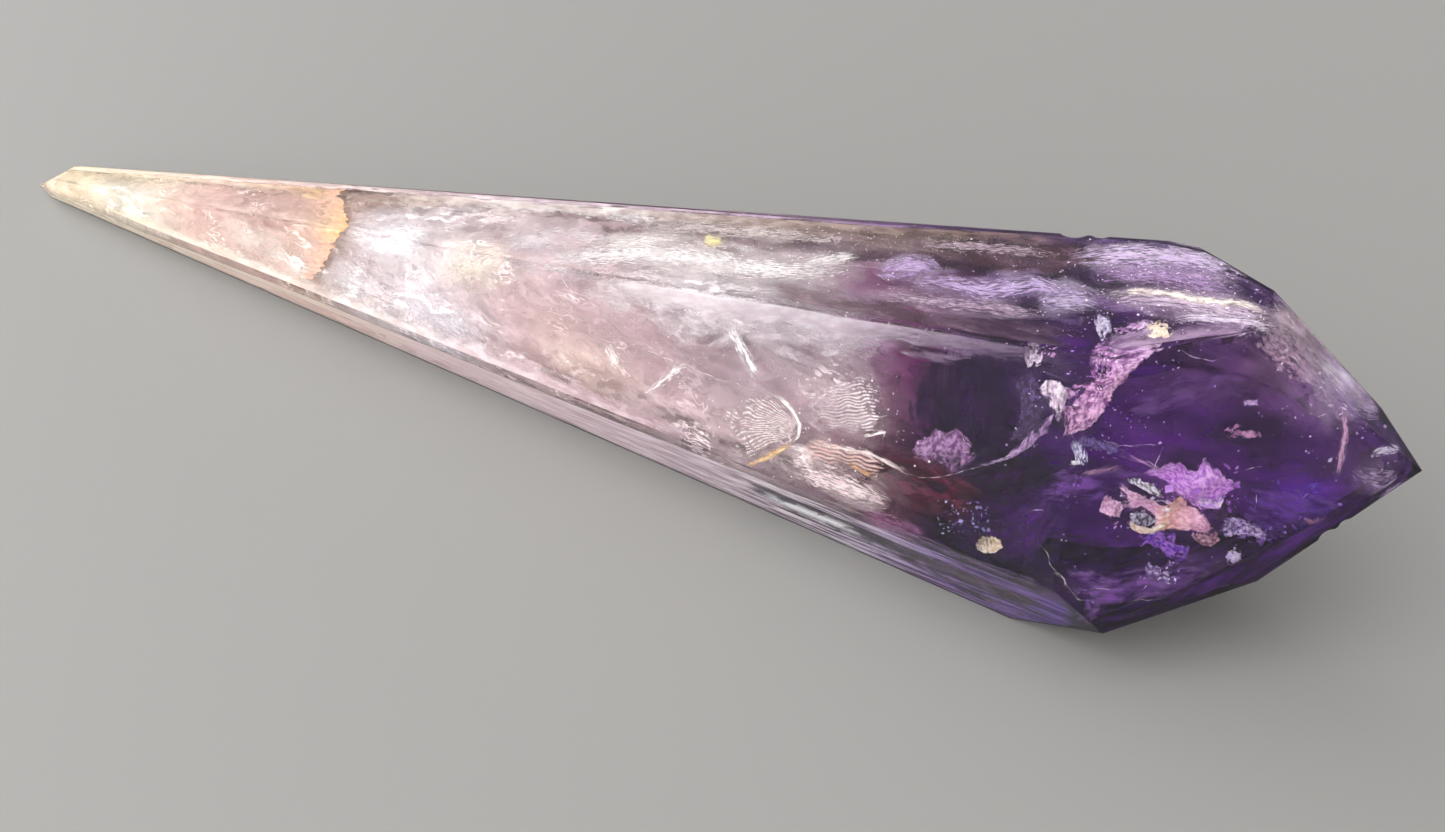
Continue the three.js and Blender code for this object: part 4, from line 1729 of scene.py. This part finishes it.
# Flakes and glints: centre pixel, size in pixels, turn, depth, dark and light colour, strength, laciness
flakes = {
    "shortUpright": ((1034, 354), (18.0, 36.0), 5, 0.6, ((170, 150, 175), (250, 244, 248)), 0.85, 1.5),
    "secondUpright": ((1103, 326), (15.0, 39.0), -15, 0.6, ((160, 145, 185), (246, 244, 252)), 0.85, 1.5),
    # greenShade: a dark green patch, painted shadow inside the flake cluster
    "greenShade": ((1229, 513), (36.0, 27.0), 30, 2.6, ((18, 26, 24), (30, 38, 34)), 0.9, 1.35),
    "violetFeather": ((1164, 545), (54.0, 30.0), 25, 2.2, ((96, 44, 168), (196, 150, 240)), 0.85, 1.8),
    "violetFeatherTwo": ((1247, 531), (54.0, 22.5), 28, 2.2, ((104, 60, 160), (200, 176, 240)), 0.7, 2.25),
    "tanFleck": ((1242, 433), (39.0, 16.5), 8, 1.2, ((150, 96, 140), (222, 172, 206)), 0.9, 1.95),
    "lilacGlint": ((1250, 403), (15.0, 12.0), 20, 1.0, ((210, 160, 236), (255, 240, 255)), 0.9, 1.8),
    "farFleck": ((1315, 522), (25.5, 15.0), 5, 1.2, ((205, 150, 165), (230, 190, 200)), 0.85, 1.2),
    "farFeather": ((1318, 500), (69.0, 45.0), -50, 3.0, ((90, 50, 185), (140, 100, 235)), 0.7, 2.4),
    "whiteGlitter": ((1157, 575), (30.0, 21.0), 40, 1.6, ((130, 110, 180), (246, 246, 255)), 0.7, 2.7),
    "lowGlint": ((1234, 557), (16.5, 18.0), 0, 1.4, ((210, 200, 240), (250, 250, 255)), 0.85, 1.8),
    "whiteFleck": ((1080, 452), (12.0, 36.0), -28, 1.0, ((120, 120, 160), (236, 238, 250)), 0.8, 1.5),
    "whiteFleckTip": ((1076, 462), (10.5, 7.5), -20, 0.8, ((205, 205, 225), (255, 255, 255)), 0.95, 0.9),
    "bluePlate": ((1100, 446), (51.0, 18.0), 14, 1.6, ((60, 40, 100), (150, 136, 196)), 0.6, 2.1),
    "creamSpecks": ((1160, 332), (27.0, 24.0), 0, 0.5, ((230, 205, 180), (250, 240, 225)), 0.9, 2.1),
    "brownTop": ((1288, 350), (84.0, 45.0), 45, 1.0, ((150, 126, 136), (214, 196, 204)), 0.7, 2.25),
}
flakeLeaves = [
    leaf(
        patch(centre, size, turn, depth, relief=0.3, seed=90 + i, jag=1.0),
        colours, milk, lace, soft=(0.5, 0.5, 0.4), thickness=0.2,
    )
    for i, (centre, size, turn, depth, colours, milk, lace) in enumerate(flakes.values())
]
showVeil("flakes", flakeLeaves, size=0.9, stretch=1.2, low=0.35, high=0.6, roughness=0.35, gloss=0.5)
print("veils and flakes ready")


# Fine cracks: thin closed tubes along lines of pixels at a shallow depth
cracks = {
    "longArc": ((600, 340), (620, 343), (653, 353), (687, 367), (713, 377), (733, 383), (760, 393)),
    "lumpArc": ((905, 472), (922, 477), (940, 478), (963, 471), (987, 465), (1010, 455), (1040, 443)),
    "endFirst": ((1040, 544), (1057, 573), (1068, 586), (1080, 598)),
    "endSecond": ((1055, 572), (1078, 598), (1096, 604)),
    "endThird": ((1085, 590), (1098, 588), (1110, 590)),
    "leftArc": ((556, 270), (566, 286), (582, 300), (600, 308)),
    "leftArcTwo": ((566, 300), (576, 318), (596, 330)),
    "slant": ((1163, 447), (1156, 462), (1150, 475)),
    "thread": ((1122, 458), (1150, 463), (1180, 472), (1204, 482)),
    "threadTwo": ((1100, 440), (1128, 446), (1160, 444)),
    # a pale line along the lower edge of the point: painted highlight, not a crack
    "lowEdgeHighlight": ((1129, 601), (1159, 599), (1182, 594.6), (1229, 584.6)),
    "lowEdgeTwo": ((1278, 561), (1292, 548), (1308, 535)),
    "farArc": ((1180, 350), (1195, 358), (1212, 361), (1226, 357)),
    "flakeLine": ((1145, 505), (1160, 500), (1178, 505)),
    "greenEdge": ((1243, 471), (1258, 467), (1266, 464)),
    "redDash": ((1256, 495), (1257, 503)),
    "pinkDash": ((1030, 510), (1043, 511)),
}
crackForm = {
    "rings": 50,
    "sides": 5,
    "depth": 0.7,
    "margin": 0.3,
    "radius": 0.05,
    "endShare": 0.3,
    "wobble": 0.12,
    "wobbleSize": 2.0,
    # a direction that no crack follows
    "aside": (0.3, 0.2, 0.93),
    "dark": (205, 180, 205),
    "light": (250, 245, 248),
    "alpha": (0.15, 0.7),
}


def tubeAlong(points):
    # rings round a line, closed at both ends: radius * (end share + the rest * sine of the way)
    step = np.gradient(points, axis=0)
    step /= np.linalg.norm(step, axis=1, keepdims=True)
    side = np.cross(step, crackForm["aside"])
    side /= np.linalg.norm(side, axis=1, keepdims=True)
    over = np.cross(step, side)
    turn = np.radians(np.arange(0, 360, 360 / crackForm["sides"]))[:, None]
    end = crackForm["endShare"]
    taper = end + (1 - end) * np.sin(np.pi * np.linspace(0, 1, len(points)))[:, None, None]
    ring = side[:, None] * np.cos(turn) + over[:, None] * np.sin(turn)
    return closedTube(points[:, None] + crackForm["radius"] * taper * ring)


def makeCracks():
    points, faces = [], []
    for i, line in enumerate(cracks.values()):
        places, _ = seenInside(alongLine(line, crackForm["rings"]), crackForm["depth"])
        wobble = softWaves(places, crackForm["wobbleSize"], 70 + i)[:, None] * crackForm["wobble"]
        one, its = tubeAlong(keepInside(places + wobble, crackForm["margin"]))
        start = sum(len(p) for p in points)
        points.append(one)
        faces += [[start + number for number in face] for face in its]
    mesh = makeMesh("fineCracks", np.concatenate(points), faces)
    material, tree, shader = newMaterial("fineCracks", roughness=0.4)
    fine = mask(tree, "cotton", objectVector(tree), Size=1.2, Stretch=1.0, Low=0.42, High=0.6)
    least, more = crackForm["alpha"]
    colour = mixed(tree, fine, linear(crackForm["dark"]), linear(crackForm["light"]))
    tree.links.new(colour, shader.inputs["Base Color"])
    alpha = maths(tree, "ADD", maths(tree, "MULTIPLY", fine, more), least)
    tree.links.new(alpha, shader.inputs["Alpha"])
    showPiece("fineCracks", mesh, material)


makeCracks()


# Dust, chips and painted glints: small grains and flat chips scattered where the photograph is speckled; the
# near-white chips and sparkle rows are painted glints. Each row has its pixel box, depths, how many, sizes in
# millimetres, flatness, dark and light colour
dustAndGlints = {
    "paleEnd": (
        (350, 190, 620, 330), (0.4, 5.0), 180, (0.05, 0.2), 1.0, ((228, 210, 220), (253, 251, 248)),
    ),
    "topMiddle": (
        (600, 225, 900, 330), (0.4, 5.0), 200, (0.05, 0.2), 1.0, ((228, 210, 220), (253, 251, 248)),
    ),
    "frontMiddle": (
        (560, 330, 900, 440), (0.4, 6.0), 150, (0.05, 0.2), 1.0, ((228, 210, 220), (253, 251, 248)),
    ),
    "topViolet": (
        (900, 235, 1280, 330), (0.4, 5.0), 240, (0.05, 0.22), 1.0, ((215, 195, 225), (252, 248, 250)),
    ),
    "shoulder": (
        (1000, 330, 1180, 470), (0.4, 6.0), 120, (0.05, 0.22), 1.0, ((215, 190, 225), (250, 240, 250)),
    ),
    "end": ((1060, 380, 1380, 570), (0.4, 8.0), 150, (0.05, 0.2), 1.0, ((170, 130, 215), (235, 215, 250))),
    "pinkZone": (
        (150, 185, 340, 260), (0.2, 1.5), 60, (0.05, 0.2), 1.0, ((250, 235, 225), (255, 250, 245)),
    ),
    "clusterChips": (
        (1110, 488, 1230, 545), (0.4, 1.2), 70, (0.1, 0.5), 0.2, ((205, 150, 200), (250, 225, 235)),
    ),
    "silverChips": (
        (1120, 478, 1180, 532), (0.4, 0.9), 70, (0.12, 0.5), 0.2, ((190, 190, 215), (252, 252, 255)),
    ),
    "lilacChips": (
        (1160, 462, 1240, 512), (1.0, 4.0), 70, (0.15, 0.7), 0.15, ((165, 100, 205), (225, 180, 245)),
    ),
    "leftChips": (
        (938, 500, 992, 534), (0.5, 1.5), 120, (0.1, 0.45), 0.2, ((60, 52, 110), (190, 190, 236)),
    ),
    "lowChips": (
        (1140, 562, 1180, 588), (0.8, 2.5), 35, (0.12, 0.45), 0.2, ((190, 180, 235), (252, 252, 255)),
    ),
    "veilChips": (
        (1030, 330, 1160, 440), (0.3, 1.5), 80, (0.12, 0.6), 0.15, ((215, 170, 215), (255, 248, 252)),
    ),
    "farChips": (
        (1245, 480, 1345, 550), (0.8, 4.0), 50, (0.12, 0.6), 0.15, ((120, 85, 215), (215, 195, 255)),
    ),
    "tipChips": (
        (1300, 365, 1400, 480), (0.4, 2.0), 90, (0.08, 0.4), 0.3, ((190, 180, 195), (250, 248, 250)),
    ),
    "lumpChips": (
        (918, 430, 972, 476), (0.4, 0.9), 26, (0.1, 0.4), 0.2, ((214, 180, 220), (255, 250, 255)),
    ),
    "topFlecks": (
        (560, 236, 900, 292), (0.3, 1.2), 260, (0.04, 0.22), 0.5, ((225, 215, 222), (255, 255, 252)),
    ),
    "bandFlecks": (
        (1080, 262, 1290, 325), (0.3, 1.2), 200, (0.05, 0.28), 0.4, ((225, 210, 228), (255, 255, 252)),
    ),
    "frostFlecks": (
        (1275, 305, 1385, 420), (0.3, 1.2), 110, (0.06, 0.3), 0.4, ((215, 200, 215), (255, 252, 255)),
    ),
    "topChips": (
        (1000, 246, 1280, 310), (0.3, 1.5), 90, (0.1, 0.45), 0.2, ((225, 210, 225), (255, 254, 252)),
    ),
    "topSparkle": (
        (560, 200, 1000, 262), (0.34, 0.6), 620, (0.07, 0.2), 0.4, ((240, 232, 236), (255, 255, 255)),
    ),
    "frostSparkle": (
        (350, 200, 540, 330), (0.34, 0.6), 200, (0.06, 0.18), 0.4, ((244, 236, 238), (255, 255, 255)),
    ),
    "frontSparkle": (
        (560, 300, 920, 480), (0.34, 0.7), 240, (0.06, 0.18), 0.4, ((236, 224, 230), (255, 255, 255)),
    ),
    "endSparkle": (
        (1010, 236, 1300, 335), (0.34, 0.6), 320, (0.07, 0.2), 0.4, ((236, 224, 238), (255, 255, 255)),
    ),
}
dustAndGlintForm = {
    "gap": 0.05,
    # how far the grains are stretched, how few are large, and the longest half of one
    "stretch": (0.5, 1.4),
    "fewLarge": 3,
    "halfLength": 1.4,
    "roughness": 0.25,
}


def makeDustAndGlints():
    # each grain is an eight-faced crystal, flattened, stretched and turned at random, and is left out where
    # its longest half could come through a face
    random = np.random.default_rng(77)
    corners = np.array([(1, 0, 0), (-1, 0, 0), (0, 1, 0), (0, -1, 0), (0, 0, 1), (0, 0, -1)], float)
    sides = np.array([
        (0, 2, 4), (2, 1, 4), (1, 3, 4), (3, 0, 4),
        (2, 0, 5), (1, 2, 5), (3, 1, 5), (0, 3, 5),
    ])
    points, tints = [], []
    for box, deep, count, size, flatness, colours in dustAndGlints.values():
        pixels = random.uniform(box[:2], box[2:], (count, 2))
        places, _ = seenInside(pixels, random.uniform(*deep, count))
        limit = faceOffsets - dustAndGlintForm["gap"] - dustAndGlintForm["halfLength"] * size[1]
        places = places[(places @ faceNormals.T < limit).all(-1)]
        count = len(places)
        large = random.uniform(0, 1, (count, 1, 1)) ** dustAndGlintForm["fewLarge"]
        reach = size[0] + (size[1] - size[0]) * large
        turn, _ = np.linalg.qr(random.normal(size=(count, 3, 3)))
        turn[:, 0] *= np.sign(np.linalg.det(turn))[:, None]
        stretch = random.uniform(*dustAndGlintForm["stretch"], (count, 1, 3))
        grains = corners * stretch * (1, 1, flatness) * reach
        points.append(places[:, None] + grains @ turn)
        share = random.uniform(0, 1, (count, 1, 1))
        tint = linear(colours[0]) * (1 - share) + linear(colours[1]) * share
        tints.append(np.repeat(tint, len(corners), axis=1))
    points = np.concatenate(points)
    faces = (sides[None] + np.arange(len(points))[:, None, None] * len(corners)).reshape(-1, 3)
    tints = np.concatenate(tints).reshape(-1, 3)
    mesh = makeMesh("dustAndPaintedGlints", points.reshape(-1, 3), faces, {"tint": tints})
    mesh.polygons.foreach_set("use_smooth", np.zeros(len(mesh.polygons), bool))
    material, tree, shader = newMaterial("dustAndPaintedGlints", dustAndGlintForm["roughness"])
    tree.links.new(attribute(tree, "tint", "Color"), shader.inputs["Base Color"])
    showPiece("dustAndPaintedGlints", mesh, material)


makeDustAndGlints()
print("cracks, dust and chips ready")
